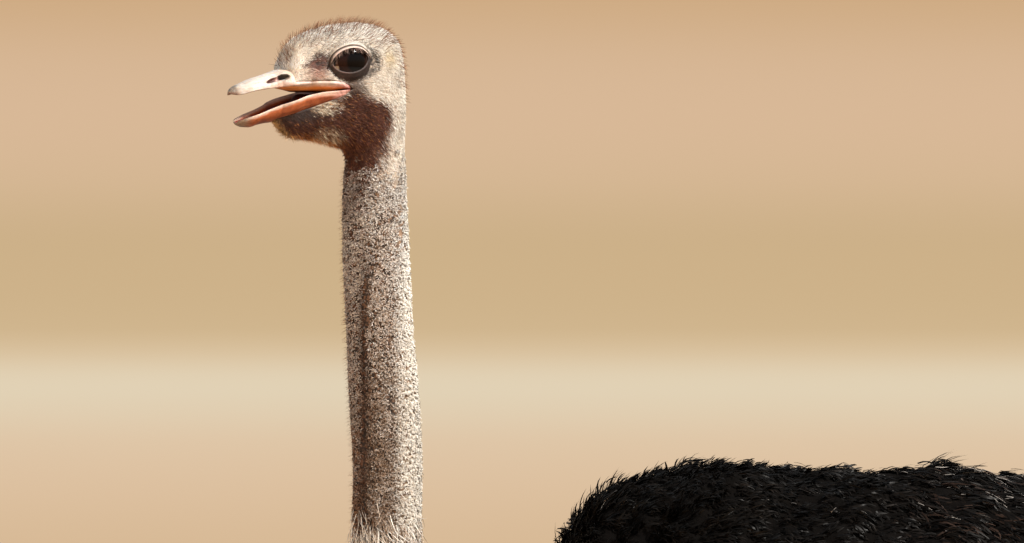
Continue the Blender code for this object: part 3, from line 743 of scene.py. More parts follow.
# A groove from the nostril forwards, the slot of the nostril, and the fall under the face.
groove_up = curve(((0, 0), (20, 5.6), (36, 7.4), (62, 14.5), (90, 20), (150, 20)), BILL_S)[:, None]
side_wall = ease(np.abs(outer_out), 3, 9)
groove = 0.9 * np.exp(-(((outer_up - groove_up) / 1.6) ** 2)) * side_wall
groove = groove * (ease(BILL_S, 16, 24) * (1 - ease(BILL_S, 40, 60)))[:, None]
slot = 5.0 * ease(bump(BILL_S[:, None], outer_up, *NOSTRIL_REAR), 0.27, 0.55)
slot = np.maximum(slot, 3.2 * ease(bump(BILL_S[:, None], outer_up, *NOSTRIL_FRONT), 0.25, 0.6)) * side_wall
line = np.interp(outer_up, *HORN_END)
line = np.where(outer_up > curve(UPPER_EDGE, BILL_S)[:, None], line, 400)
fall = 3.4 * ease(BILL_S[:, None] - line, -9, 5)
lip = 1.7 * np.exp(-(((outer_up - rim - 1.7) / 1.3) ** 2))
lip = lip * (ease(BILL_S, 50, 66) * (1 - ease(BILL_S, 108, 120)))[:, None]
sunk = fall + slot + groove - nail - lip
outer_dir = unit(np.stack([np.sin(turn * math.pi / 2) + 0 * rim, 0.9 * arch + 0 * rim], axis=-1))
outer_out = outer_out - sunk * outer_dir[..., 0]
outer_up = outer_up - sunk * outer_dir[..., 1] * (np.abs(turn) < 0.97)
back = np.linspace(0.93, -0.93, ACROSS_INSIDE)[None, :]
roof = np.maximum(curve(PALATE, BILL_S)[:, None], rim + 0.8 - 9 * ease(BILL_S, 38, 56)[:, None])
roof = np.minimum(roof, top - 1.2 - fall.max(axis=1, keepdims=True) * 0.4)
inner_out = np.sign(back) * np.maximum(rim_out[:, None] * np.abs(back) - 0.5, 0)
inner_up = rim + 0.5 + (roof - rim) * (1 - np.abs(back) ** 5) - 0.6 * np.exp(-((back / 0.1) ** 2))
upper_bill = shell(BILL_S, (outer_out, outer_up), (inner_out, inner_up))

LOW_S = BILL_S[BILL_S > 7.3]
low_out = rim_out[BILL_S > 7.3]
low_out = np.minimum(low_out, curve(RIM_WIDTH, LOW_S - 6.7)) * np.where(LOW_S > 90, 0.985, 1.0)
low_rim, keel = curve(LOWER_RIM, LOW_S)[:, None], curve(KEEL, LOW_S)[:, None]
turn_low = np.linspace(1, -1, ACROSS_LOWER)
bow = np.cos(turn_low * math.pi / 2)
under_out = low_out[:, None] * np.sin(turn_low * math.pi / 2)
under_up = low_rim - (low_rim - keel) * bow
edge_low = curve(LOWER_EDGE, LOW_S)[:, None]
tuck = 3.0 * ease(edge_low - under_up, -0.5, 3) * ease(LOW_S, 46, 54)[:, None]
rib = 0.5 * np.exp(-(((low_rim - under_up - 3.2) / 0.9) ** 2)) * ease(LOW_S, 14, 30)[:, None]
under_dir = unit(np.stack([np.sin(turn_low * math.pi / 2) + 0 * low_rim, 0 * low_rim - bow], axis=-1))
inset = tuck + rib
under_out, under_up = under_out - inset * under_dir[..., 0], under_up - inset * under_dir[..., 1]
trough_x = np.linspace(-0.9, 0.9, ACROSS_INSIDE)[None, :]
floor_up = np.minimum(curve(TROUGH, LOW_S)[:, None], low_rim - 1.0)
floor_up = np.maximum(floor_up, keel + 1.5)
in_out = np.sign(trough_x) * np.maximum(low_out[:, None] * np.abs(trough_x) - 0.6, 0)
in_up = low_rim - 0.6 + (floor_up - low_rim) * (1 - np.abs(trough_x) ** 4)
lower_bill = shell(LOW_S, (under_out, under_up), (in_out, in_up))
print("upper bill", upper_bill.shape, "lower bill", lower_bill.shape)

# %% [markdown]
# ## The bill's colours
# Each half has two colours at every point, its horn's and its flesh's, and moves from the first
# to the second by how far the point is inside.

# %% Colours and pieces of the bill
def upper_colours(points, s, out, up, rough):
    """Horn and flesh of the upper half: a grey nail and a cream ridge with pink along the rim,
    nostrils and a strip by the feathers darkened with painted shade, and orange flesh inside with
    painted shade under the rim and deep towards the throat."""
    over = up - curve(UPPER_RIM, s)
    lines_of_growth = waves(np.stack([0.2 * s, out, 1.3 * up - 0.25 * s], -1), 4.5, 13)
    horn = painted(
        points, "#e6dbd1",
        ("#dba68f", 0.7 * (1 - ease(over, 1.5, 6)) * ease(s, 26, 50)),
        ("#f6e2d8", 0.85 * (1 - ease(over, 4, 9)) * ease(s, 54, 70)),
        ("#b8907c", 0.5 * ease(rough, 0.1, 0.9) * ease(s, 30, 60)),
        ("#c39c86", 0.5 * ease(lines_of_growth, 0.0, 0.9)),
        ("#8d6044", 0.75 * (1 - ease(over, 0.2, 1.4)) * (1 - ease(s, 30, 46))),
        ("#c4b5a4", 0.6 * (1 - ease(s, 10, 26)) * ease(0.4 + 0.8 * rough, 0, 1)),
        ("#857668", 0.8 * (1 - ease(s + 3 * rough, 4, 10)) * ease(up, -4, 1)),
        ("#7d4a35", 0.7 * (1 - ease(s, 3, 11)) * (1 - ease(up, -4, -1))),
        # Painted shade on the horn just in front of the feathers.
        ("#cfb8a2", 0.8 * ease(s - np.interp(up, *HORN_END), -10, -1) * ease(over, 4, 8)),
        # Painted shade in the nostril: dark red in the shallow front hole, part its own colour, and near
        # black in the deep rear one.
        ("#4a120d", 0.97 * ease(bump(s, up, *NOSTRIL_FRONT), 0.18, 0.4)),
        ("#0c0403", 0.98 * ease(bump(s, up, *NOSTRIL_REAR), 0.2, 0.4)),
        ("#e3b0a4", 0.9 * bump(s, up, 48.4, 10.6, 1.9, 2.2)),
    )
    dark_from = np.interp(s, (70, 79, 91, 104, 115, 124), (0.2, 0.3, 0.8, 2.0, 2.2, 0))
    flesh = painted(
        points, "#e6a064",
        ("#d8803f", 0.8 * ease(s + 4 * rough, 66, 90)),
        # Painted shade: red-brown just under the rim, and near black deep in the mouth.
        ("#b2522e", 0.7 * (1 - ease(-over, 0.5, 2.2)) * ease(s, 60, 80)),
        ("#2c0a05", 0.96 * ease(s, 68, 78) * ease(-up - dark_from + 0.3 * rough, -0.9, 0.9)),
        ("#c8604a", 0.7 * ease(s, 112, 126)),
    )
    return horn, flesh


def lower_colours(points, s, up, rough, broad):
    """Horn and flesh of the lower half: rust red below a pale rim that is in part a painted highlight, and
    dark red inside that darkens towards the back as painted shade.
    """
    under = curve(LOWER_RIM, s) - up
    fall = under + 0.4 * rough
    ridges = ease(np.sin(1.3 * fall + 0.8 * rough), 0.2, 0.9)
    horn = painted(
        points, "#b4633c",
        # The pale rim is in part a painted highlight.
        ("#f0d3c2", 0.95 * (1 - ease(fall, 1.8, 4.0))),
        ("#86442a", 0.85 * ease(broad + 0.5 * rough, -0.3, 0.6) * ease(fall, 3, 6.5)),
        ("#7d4a32", 0.4 * ease(fall, 8, 12) * ease(s, 30, 60)),
        ("#e6c2b0", 0.8 * ease(s, 78, 100) * (1 - ease(fall, 2, 6))),
        ("#7a3c22", 0.45 * ridges * ease(fall, 5, 8) * ease(s, 40, 60)),
        ("#8f7c6a", 0.9 * (1 - ease(s, 11, 24))),
    )
    # Painted shade: the trough darkens towards the back of the mouth.
    flesh = painted(
        points, "#6a241a", ("#330f0a", ease(s, 50, 105)), ("#f0d6bf", 1 - ease(under, 1.2, 2.6))
    )
    return horn, flesh


def bill_colour(points, upper, inside):
    """The colours of one half of a cock ostrich's open bill, moved from horn to flesh by the
    share that is inside, with fleshy folds across the rims near the corner of the mouth."""
    s, out, up = head_frame(points)
    rough, broad = waves(points, 11.0, 11), waves(points, 30.0, 12)
    if upper:
        horn, flesh = upper_colours(points, s, out, up, rough)
    else:
        horn, flesh = lower_colours(points, s, up, rough, broad)
    folds = ease(np.sin(1.3 * s + 0.8 * up + 2.5 * rough), 0.2, 1.0) * ease(s, 106, 113)
    horn = layered(
        horn,
        ("#e0a89c", 0.8 * ease(s, 102, 114)),
        ("#93443a", 0.5 * folds),
        ("#8a3a2e", 0.7 * ease(s, 117, 124)),
    )
    colour = horn + (flesh - horn) * inside[..., None]
    # The flesh inside is a quarter brighter than the horn: in part painted light let through the thin bill.
    return colour * (0.8 + 0.2 * inside[..., None]) * (1 + 0.07 * rough + 0.05 * broad)[..., None]


def inner_share(rings, outer_count, edge):
    """1 on the inner points of a shell, fading to 0 over the outermost `edge` of them."""
    inner = rings.shape[1] - outer_count
    reach = np.minimum(np.arange(inner), np.arange(inner)[::-1])
    share = np.concatenate([np.zeros(outer_count), ease(reach + 0.5, 0, edge)])
    return np.broadcast_to(share, rings.shape[:2])


for name, grid, across, edge in (
    ("upper_bill_horn", upper_bill, ACROSS_UPPER, 1.0), ("lower_bill_horn", lower_bill, ACROSS_LOWER, 1.7)
):
    is_upper = name == "upper_bill_horn"
    placed = twisted(grid)
    faces = grid_faces(*grid.shape[:2], wrap=True)[:, ::-1]
    colour = bill_colour(placed, is_upper, inner_share(grid, across, edge))
    piece = add_mesh(name, placed, faces, HORN, colour)
    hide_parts("bill_upper" if is_upper else "bill_lower")

# %% [markdown]
# ## The back of the mouth
# The stub of the tongue lies on the floor of the mouth and swells up to the soft palate. It is a
# tube between the trough and the palate, as wide as 0.66 of the rims.

# %% The tongue's stub
# Moist lining, painted dark as the shade deep in the mouth, so that only a broad sheen shows on it.
MOUTH = tinted(
    "moist_mouth_lining", 0.55, mottle=0.25, scale=300, relief=0.0006, relief_scale=500,
    Specular_IOR_Level=0.04,
)
root_s = np.linspace(72, 127, 32)
half_wide = 0.66 * curve(RIM_WIDTH, root_s) * np.sqrt(ease(root_s, 70, 94))
low = curve(TROUGH, root_s) + 0.4
high = low + (curve(PALATE, root_s) - 0.2 - low) * (0.3 + 0.7 * ease(root_s, 72, 84))
angle = np.linspace(0, 2 * math.pi, 40, endpoint=False)
height = ((low + high) / 2)[:, None] + ((high - low) / 2)[:, None] * np.cos(angle)
mound = twisted(capped(from_tip(root_s[:, None], half_wide[:, None] * np.sin(angle), height)))
# Painted shade: the tongue is dark, and darker towards the back of the mouth.
colour = painted(mound, "#3f160f", ("#1a0806", ease(head_frame(mound)[0], 76, 92)))
colour = colour * (1 + 0.1 * waves(mound, 6, 61))[..., None]
faces = grid_faces(*mound.shape[:2], wrap=True)[:, ::-1]
tongue = add_mesh("tongue", mound, faces, MOUTH, colour)

# %% [markdown]
# ## Eyes and lids
# The eye of an ostrich is five centimetres across, the largest of any bird, and nearly all of
# it lies behind the lids. The ball is a flattened ellipsoid. The lids are a sheet that follows
# the ball from the edge of the opening outwards, as a function of the angle round the opening
# and of the distance from its edge: a rounded margin, a crease, a second fold, and then the
# skin of the face, which the sheet dives under.

# %% The eye's own frame and the ball
def eye_point(a, b, h, side):
    """A bird point from the eye's frame: a backwards, b up and h outwards, all from its centre,
    turned EYE_FORWARD degrees to look forwards."""
    c, k = math.cos(math.radians(EYE_FORWARD)), math.sin(math.radians(EYE_FORWARD))
    return from_tip(EYE_S + a * c - h * k, side * (EYE_OUT + a * k + h * c), EYE_UP + b)


def eye_coordinates(points, side):
    """The inverse of eye_point, for points of the head before it is turned."""
    c, k = math.cos(math.radians(EYE_FORWARD)), math.sin(math.radians(EYE_FORWARD))
    x = points[..., 0] - TIP_X - EYE_S
    y = side * points[..., 1] - EYE_OUT
    return x * c + y * k, points[..., 2] - GAPE_Z - EYE_UP, y * c - x * k


def ball_height(a, b):
    """How far out the ball stands at (a, b): its ellipsoid solved for h."""
    flat = 1 - (a / EYE_REACH[0]) ** 2 - (b / EYE_REACH[2]) ** 2
    return EYE_REACH[1] * np.sqrt(np.maximum(flat, 0.004))


OPEN_HALF, OPEN_MIDDLE, OPEN_TILT = (19.6, 11.9), (1.5, 1.4), math.radians(11)


def opening(angle, grow):
    """The edge of the lids' opening, grown outwards by mm: an ellipse of half axes OPEN_HALF with
    its corners drawn out, about OPEN_MIDDLE and with its rear higher by the angle OPEN_TILT."""
    a = OPEN_HALF[0] * np.cos(angle)
    b = OPEN_HALF[1] * np.sin(angle) * np.abs(np.sin(angle)) ** 0.12
    n = unit(np.stack([np.cos(angle) / OPEN_HALF[0], np.sin(angle) / OPEN_HALF[1]], axis=-1))
    a, b = a + grow * n[..., 0], b + grow * n[..., 1]
    c, k = math.cos(OPEN_TILT), math.sin(OPEN_TILT)
    return OPEN_MIDDLE[0] + a * c - b * k, OPEN_MIDDLE[1] + a * k + b * c


# A wet cornea over a dark iris: nearly a mirror, so it catches the lights.
EYE = tinted("wet_eye", 0.03, IOR=1.376)
GAZE = math.radians(15)
theta = np.linspace(0, math.pi, 41)[:, None]
phi = np.linspace(0, 2 * math.pi, 64, endpoint=False)[None, :]
for name, side in SIDES:
    a = EYE_REACH[0] * np.sin(theta) * np.cos(phi)
    b = EYE_REACH[2] * np.sin(theta) * np.sin(phi)
    # Behind the lids the ball draws in, so that it stays well under them.
    hidden = ease((a / 24) ** 2 + (b / 16.5) ** 2, 0.9, 1.4) * (np.cos(theta) > 0)
    ball = twisted(eye_point(a, b, EYE_REACH[1] * np.cos(theta) - 7 * hidden, side))
    # The pupil looks a little backwards of the middle of the lids.
    turned_out = np.sin(theta) * np.cos(phi) * math.sin(GAZE) + np.cos(theta) * math.cos(GAZE)
    off = np.degrees(np.arccos(np.clip(turned_out, -1, 1)))
    colour = painted(
        ball, "#1f0d08",
        ("#060303", 1 - ease(off, 23, 30)),
        ("#120805", ease(off, 46, 66)),
        ("#5a3a28", 0.6 * np.exp(-(((a + 14.5 - 0.01 * b * b) / 0.8) ** 2))),
    )
    faces = grid_faces(*ball.shape[:2], wrap=True)[:, ::side]
    eye = add_mesh("eyeball_" + name, ball, faces, EYE, colour)
    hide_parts("eye_" + name)

# %% [markdown]
# ## The lids
# Over the ball, the lids' height is read off two tables of the distance from the opening, one
# for the upper lid and one for the lower. Further out it is eased into the skin of the face.
# %% Lids
# Distances from the opening at which the lids have a row, and how far they stand over the ball.
LID_Q = np.array([
    -1.6, -0.5, 0.0, 0.6, 1.3, 2.1, 2.9, 3.5, 4.1, 4.8, 5.7, 6.6, 7.4, 8.1, 8.9, 9.9, 11.2, 12.6,
])
LID_RISE = ((-1.6, -1.0), (-0.5, -0.1), (0, 0.9), (0.6, 1.6), (1.3, 2.0), (2.3, 2.0), (3.4, -0.3), (4.5, 1.6),
            (5.7, 1.8), (6.6, 0.9), (7.6, 1.5), (12.6, 1.5))
LOWER_LID_RISE = ((-1.6, -1.0), (-0.5, -0.1), (0, 0.6), (0.6, 1.1), (1.4, 1.2), (2.6, 0.9), (4.5, 0.9),
                  (7, 1.2), (12.6, 1.2))


def skin_height(a, b, side):
    """The head skin's h at (a, b): the mean of the skin points near it, each weighted by
    exp(-(distance / 2.2 mm)^2)."""
    near = np.concatenate([upper_skin.reshape(-1, 3), lower_skin.reshape(-1, 3)])
    near = near[near[:, 1] * side > 3]
    sa, sb, sh = eye_coordinates(near, side)
    keep = (np.abs(sa) < 42) & (np.abs(sb) < 42)
    sa, sb, sh = sa[keep], sb[keep], sh[keep]
    weight = np.exp(-((a.ravel()[:, None] - sa) ** 2 + (b.ravel()[:, None] - sb) ** 2) / 2.2**2) + 1e-12
    return ((weight @ sh) / weight.sum(axis=1)).reshape(a.shape)


def lid_points(side, q, angle):
    """Points of the lids: over the ball by LID_RISE, then eased to 1.6 mm under the skin."""
    a, b = opening(angle, q)
    lower = ease(-np.sin(angle), -0.1, 0.5)
    rise = curve(LID_RISE, q) * (1 - lower) + curve(LOWER_LID_RISE, q) * lower
    over = ball_height(a, b) + rise
    skin = skin_height(a, b, side)
    share = ease(q, 4.5, 12.0)
    height = over + (skin - over) * share - 1.8 * ease(q, 10.0, 12.6)
    floor = np.minimum(skin + 0.4, over + 3) * (q < 10) - 99 * (q >= 10)
    return eye_point(a, b, np.where(q > 3.6, np.maximum(height, floor), height), side)


def lid_colour(q, angle, points):
    """A pinkish white margin above, a thin pink one below, a dark crease round both and a dark
    line in the upper fold, both painted shade, and then dark bare skin below and the pale outer
    fold above."""
    up = ease(np.sin(angle), -0.15, 0.2)
    front = np.exp(-((np.cos(angle) + 1) / 0.16) ** 2)
    rough, fine, patch = waves(points, 5.0, 51), waves(points, 2.6, 52), waves(points, 3.0, 53)
    ahead = ease(-np.cos(angle), -0.2, 0.6)
    rear = ease(np.cos(angle + 0.45), 0.35, 0.8)
    behind = rear * ease(q, -0.2, 0.4) * (1 - up * (1 - ease(q, 6, 7))) * ease(fine + rough, -0.9, -0.1)
    colour = painted(
        points, "#a08b78",
        ("#3a231b", (1 - up) * ease(q, -0.6, 0.1) * (1 - ease(q, 9, 11))),
        ("#150b08", 0.8 * (1 - up) * ease(patch, -0.1, 0.6) * ease(q, 1, 2)),
        ("#d8ccbe", up * ease(q, 4.0, 4.6) * (1 - ease(q, 5.8, 6.6))),
        # Painted shade in the crease over the upper lid, and in the fold above it.
        ("#120805", up * 0.98 * np.exp(-(((q - 3.4) / 0.8) ** 2))),
        ("#5d463a", up * 0.8 * np.exp(-(((q - 6.6) / 0.5) ** 2))),
        ("#d9bfb2", up * ease(q, 0.2, 0.8) * (1 - ease(q, 2.5, 3.0))),
        ("#75554a", (1 - up) * ahead * ease(q, -0.1, 0.2) * (1 - ease(q, 0.7, 1.1))),
        # Painted shade where the lids' edge meets the ball.
        ("#2a150e", 1 - ease(q, -0.3, 0.3)),
        ("#2c1a13", 0.9 * front * ease(q, 1.2, 2.4) * (1 - ease(q, 6, 9))),
        ("#2e1d15", 0.92 * behind),
        ("#281811", 0.9 * (1 - up) * (1 - ahead) * ease(q, -0.2, 0.3)),
    )
    return 0.85 * colour * (1 + 0.16 * rough)[..., None]
lid_grids = {}
lid_angle, lid_q = np.meshgrid(np.linspace(0, 2 * math.pi, 120, endpoint=False), LID_Q)
for name, side in SIDES:
    grid = lid_grids[side] = lid_points(side, lid_q, lid_angle)
    faces = grid_faces(*grid.shape[:2], wrap=True)[:, ::side]
    lids = add_mesh("eyelids_" + name, twisted(grid), faces, SKIN, lid_colour(lid_q, lid_angle, grid))

# %% [markdown]
# ## The body's skin
# Under its plumage an ostrich's body is a deep, rounded barrel. None of its skin shows, but it
# has to be there, painted in the plumage's own near black as the shade between the feathers, so
# that no light comes through between them. It is a loft again, an egg-shaped ring at every
# distance from the neck, and a flat lens on each side for the wing, all lying inside the solids by
# the depth of the plumage.

# %% Trunk, wings and rump
# Along, top z, bottom z, half width.
TRUNK_RINGS = (
    (128, 1160, 1085, 34), (150, 1292, 1012, 98), (180, 1364, 950, 150), (230, 1401, 888, 198),
    (310, 1421, 832, 238), (420, 1413, 790, 262), (500, 1415, 772, 272), (585, 1415, 762, 278),
    (700, 1401, 766, 276), (820, 1372, 790, 260), (950, 1316, 846, 222), (1050, 1250, 912, 170),
    (1120, 1186, 984, 108), (1150, 1136, 1034, 52),
)
TAIL_RINGS = (
    (1030, 1210, 40, 60), (1090, 1205, 62, 96), (1160, 1178, 74, 116), (1240, 1130, 72, 120),
    (1310, 1068, 56, 104), (1348, 1018, 32, 68), (1360, 998, 12, 30),
)


def trunk_grid(rows, columns, top_depth, low_depth):
    """Rings of the trunk, drawn in by the plumage's depth at the top and low down, in mm:
    out = half width sin(a) (1 + 0.06 cos(a)) and up = middle + reach cos(a)."""
    t = smooth(TRUNK_RINGS, np.linspace(0, len(TRUNK_RINGS) - 1, rows))
    angle = np.linspace(0, 2 * math.pi, columns, endpoint=False)
    depth = top_depth + (low_depth - top_depth) * ease(-np.cos(angle), -0.8, 0.1)
    shrink = np.minimum(depth, 0.6 * t[:, 3:4])
    reach = (t[:, 1:2] - t[:, 2:3]) / 2 - np.minimum(depth, 0.4 * (t[:, 1:2] - t[:, 2:3]))
    out = (t[:, 3:4] - shrink) * np.sin(angle) * (1 + 0.06 * np.cos(angle))
    up = (t[:, 1:2] + t[:, 2:3]) / 2 + reach * np.cos(angle)
    along = t[:, 0:1] * 0.95 + 0.05 * 640
    return np.stack([np.broadcast_to(along, out.shape), out, up], axis=-1)


def ellipsoid_grid(centre, reach, droop, side, rows, columns):
    """An ellipsoid with its pole outwards, tipped by droop degrees so that its rear hangs."""
    th = np.linspace(0.0, math.pi, rows)[:, None]
    ph = np.linspace(0, 2 * math.pi, columns, endpoint=False)[None, :]
    x, z = reach[0] * np.sin(th) * np.cos(ph), reach[2] * np.sin(th) * np.sin(ph)
    y = reach[1] * np.cos(th) * np.ones_like(ph)
    c, k = math.cos(math.radians(droop)), math.sin(math.radians(droop))
    return np.stack([centre[0] + x * c + z * k, side * (centre[1] + y), centre[2] + z * c - x * k], axis=-1)


def lumpy(grid, centre, coarse, small, seed):
    """The grid pushed in and out along its normals in soft lumps, as plumage lies in clumps."""
    n = normals_of(grid, wrap=True)
    n = n * np.sign(((grid - centre) * n).sum(-1).mean())
    return grid + n * (coarse * waves(grid, 85, seed) + small * waves(grid, 36, seed + 1))[..., None]


trunk = lumpy(trunk_grid(120, 180, 11, 27), (640, 0, 1090), 8, 5, 201)
WING, WING_REACH, WING_DROOP = (700, 172, 1095), (405, 128, 215), 14
PLUMES, PLUMES_REACH, PLUMES_DROOP = (945, 168, 975), (190, 98, 122), 30
PLUMAGE_DEPTH = 24
tail = smooth(TAIL_RINGS, np.linspace(0, 4, 24))
angle = np.linspace(0, 2 * math.pi, 48, endpoint=False)
lift = tail[:, 2:3] * 0.45 * np.cos(angle)
rump = capped(np.stack(
    [tail[:, 0:1] + lift * 0.5, 0.55 * tail[:, 3:4] * np.sin(angle), tail[:, 1:2] + lift], axis=-1
))
inner_reach = np.subtract(WING_REACH, PLUMAGE_DEPTH)
wings = {side: ellipsoid_grid(WING, inner_reach, WING_DROOP, side, 40, 80) for side in (-1, 1)}

# Skin under plumage, painted near black as the shade between plumes, and matt.
SHADE_UNDER_PLUMAGE = tinted(
    "plumage_skin", 0.9, mottle=0.3, scale=90, relief=0.002, relief_scale=220, Specular_IOR_Level=0.05
)
points, faces = joined(
    [capped(trunk), rump, wings[-1], wings[1]], wrap=True, flips=(True, True, True, False)
)
skin_body = add_mesh("skin_body", points, faces, SHADE_UNDER_PLUMAGE, painted(points, "#070504"))
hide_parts("trunk", "wing_left", "wing_right", "wing_plumes_left", "wing_plumes_right", "tail")

# %% [markdown]
# ## Legs and feet
# The legs are bare. The shank is thick muscle in soft pinkish-grey skin, the joint below it is
# the ankle, and the tarsus runs down to two toes, of which the inner one alone carries a large
# claw. Big overlapping plates cover the front of the tarsus and the tops of the toes, and small
# round scales cover the rest. A ring at every height carries all of it, and the plates are
# raised on the rings themselves, as a stair of sloping treads.

# %% Legs and toes
SHANK_RINGS = (
    (575, 150, 985, 128, 94), (612, 147, 895, 120, 86), (652, 141, 800, 98, 71),
    (698, 133, 700, 69, 53), (741, 125, 612, 46, 39), (774, 118, 530.4, 36, 32),
)
TARSUS_RINGS = (
    (782, 118, 530, 37, 33), (784, 118, 512, 40, 35), (780, 118, 486, 36, 30), (771, 118, 440, 28, 22.5),
    (757, 118, 350, 25, 20), (742, 118, 250, 25, 20), (727, 118, 150, 27, 22.5), (717, 118, 92, 31, 29),
    (712, 118, 45, 31, 30),
)
MAIN_TOE = (
    (-40, 0, 20, 12), (-30, 0, 38, 24), (-8, 0, 54, 31), (22, 0, 58, 32), (50, 0, 46, 27), (80, 0, 42, 28),
    (108, -1, 36, 25), (130, -2, 34, 25), (150, -3, 27, 20), (160, -3, 20, 15),
)
OUTER_TOE = ((8, 14, 30, 12), (22, 22, 36, 17), (44, 33, 30, 17), (64, 43, 25, 15), (84, 52, 24, 15.5),
             (100, 58, 19, 12), (106, 61, 13, 9))
LEG_Y, STAGGER, FOOT_X = 118.0, 45.0, 712.0


def plates(distance, spacing, front):
    """Overlapping plates: the height over a plate rises slowly to its lower edge and drops there,
    as the fraction of distance / spacing does, where front is 1."""
    t = (distance / spacing) % 1.0
    return front * (0.25 + 1.1 * t) * (1 - ease(t, 0.93, 1.0))


def scales(along, around, size):
    """Round scales in offset rows: |sin(pi a)| |sin(pi b)| ^ 0.4 on a staggered lattice."""
    row = np.floor(along / size)
    a, b = along / size, around / size + 0.5 * (row % 2)
    return (np.abs(np.sin(math.pi * a)) * np.abs(np.sin(math.pi * b))) ** 0.4


def leg_grid(side):
    """The bare leg from inside the plumage to the foot, its surface raised by plates in front
    and scales behind."""
    table = np.array(SHANK_RINGS[:-1] + ((775, 118, 534, 37, 32.5),) + TARSUS_RINGS[1:], float)
    table[:, 0] += side * STAGGER * (1 - table[:, 2] / 985)
    rows = smooth(table, np.concatenate([np.linspace(0, 5, 150, endpoint=False), np.linspace(5, 13, 330)]))
    angle = np.linspace(0, 2 * math.pi, 72, endpoint=False)
    front = ease(-np.cos(angle), 0.25, 0.6)[None, :] * ease(-rows[:, 2:3], -560, -520)
    height = rows[:, 2:3] + 0 * angle
    limb = np.stack([rows[:, 0:1] * np.cos(angle), rows[:, 3:4] * np.sin(angle), height], -1)
    skin_fold = 0.9 * waves(limb, 26, 21)
    lift = plates(-rows[:, 2:3], 13.0, 1.0) * front * 1.3
    girth = rows[:, 3:4] * np.minimum(angle, 2 * math.pi - angle)
    small = 0.55 * scales(height, girth, 6.5) * (1 - front) * ease(-rows[:, 2:3], -640, -540)
    reach = -1.6 + lift + small + skin_fold * ease(rows[:, 2:3], 520, 640)
    along = rows[:, 0:1] + (rows[:, 3:4] + reach) * np.cos(angle)
    out = side * (rows[:, 1:2] + (rows[:, 4:5] + reach) * np.sin(angle))
    return np.stack([along, out, height], axis=-1)


def toe_grid(table, side, rows_count):
    """Rings across a toe, arched above and flat below, with plates over the top and a soft
    granular sole."""
    rows = smooth(table, np.linspace(0, len(table) - 1, rows_count))
    heading = unit(np.gradient(rows[:, :2], axis=0))
    angle = np.linspace(0, 2 * math.pi, 56, endpoint=False)
    across = np.sign(np.sin(angle)) * np.abs(np.sin(angle)) ** 0.8
    lift = np.maximum(0.42 + 0.58 * np.cos(angle), 0.0)
    top = ease(np.cos(angle), 0.45, 0.8)[None, :]
    grains = scales(rows[:, 0:1], rows[:, 3:4] * angle, 5.0)
    reach = -1.2 + 1.1 * plates(rows[:, 0:1], 11.0, 1.0) * top + 0.5 * grains * (1 - top)
    forward = rows[:, 0:1] - heading[:, 1:2] * (rows[:, 3:4] + reach) * across
    outward = rows[:, 1:2] + heading[:, 0:1] * (rows[:, 3:4] + reach) * across
    up = np.maximum((rows[:, 2:3] + reach) * lift, 0.0)
    return np.stack([FOOT_X + side * STAGGER - forward, side * (LEG_Y + outward), up], axis=-1)


def leg_colour(points):
    """Pinkish-grey skin above, rosier down the front plates, and dusty toes."""
    z = points[..., 2]
    colour = painted(
        points, "#a58f80",
        ("#8d766a", 0.5 * ease(waves(points, 90, 32), -0.2, 0.8)),
        ("#b98d7c", 0.6 * (1 - ease(z, 430, 560)) * ease(z, 60, 140)),
        ("#8f8172", 0.7 * (1 - ease(z, 20, 90))),
    )
    return colour * (1 + 0.10 * waves(points, 12, 31))[..., None]


# Bare skin over plates: a soft sheen, and a little light let through.
LEG = tinted("scaled_leg_skin", 0.55, mottle=0.18, scale=260, relief=0.0007, relief_scale=420,
             Subsurface_Weight=0.08, Subsurface_Radius=(0.004, 0.0015, 0.0008))
for word, side in SIDES:
    toes = toe_grid(MAIN_TOE, side, 150), toe_grid(OUTER_TOE, side, 90)
    points, faces = joined(
        [capped(grid) for grid in (leg_grid(side), *toes)], wrap=True, flips=(side > 0, side < 0, side < 0)
    )
    leg = add_mesh("leg_" + word, points, faces, LEG, leg_colour(points))
    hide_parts("shank_" + word, "tarsus_" + word, "toe_main_" + word, "toe_outer_" + word)

# %% [markdown]
# ## Claws
# The claws keep their solids' shape. Their keratin is dark horn, worn pale in streaks along it.

# %% Claw keratin
claw_horn, tree, shader = material("claw_keratin", Roughness=0.38)
place = node(tree, "TexCoord").outputs["Object"]
drawn = node(tree, "Mapping", inputs={"Scale": (60.0, 420.0, 420.0)}, links=[("Vector", place)])
streaks = node(
    tree, "TexNoise", inputs={"Scale": 1.0, "Detail": 4.0}, links=[("Vector", drawn.outputs["Vector"])]
).outputs["Fac"]
shades = ramped(tree, streaks, (0.3, "#2f2721"), (0.52, "#5d4f42"), (0.72, "#9c8b76"))
tree.links.new(shades.outputs["Color"], shader.inputs["Base Color"])
raise_by(tree, shader, streaks, 0.0005)
claws = [f"claw_{toe}_{word}" for toe in ("main", "outer") for word, _ in SIDES]
for name in claws:
    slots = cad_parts[name].data.materials
    slots.clear()
    slots.append(claw_horn)
print("claws in keratin:", ", ".join(claws))

# %% [markdown]
# ## Growing a coat
# A feather or a hair is a thin ribbon that leaves the skin, bends along a lie, and ends in a
# point. Three steps make any coat from that. Roots are scattered over a grid, so many to each
# square millimetre. A centre line grows from each root, its direction turning a little at each
# step. Then a ribbon is laid along every line, all of them worked out together as one array.

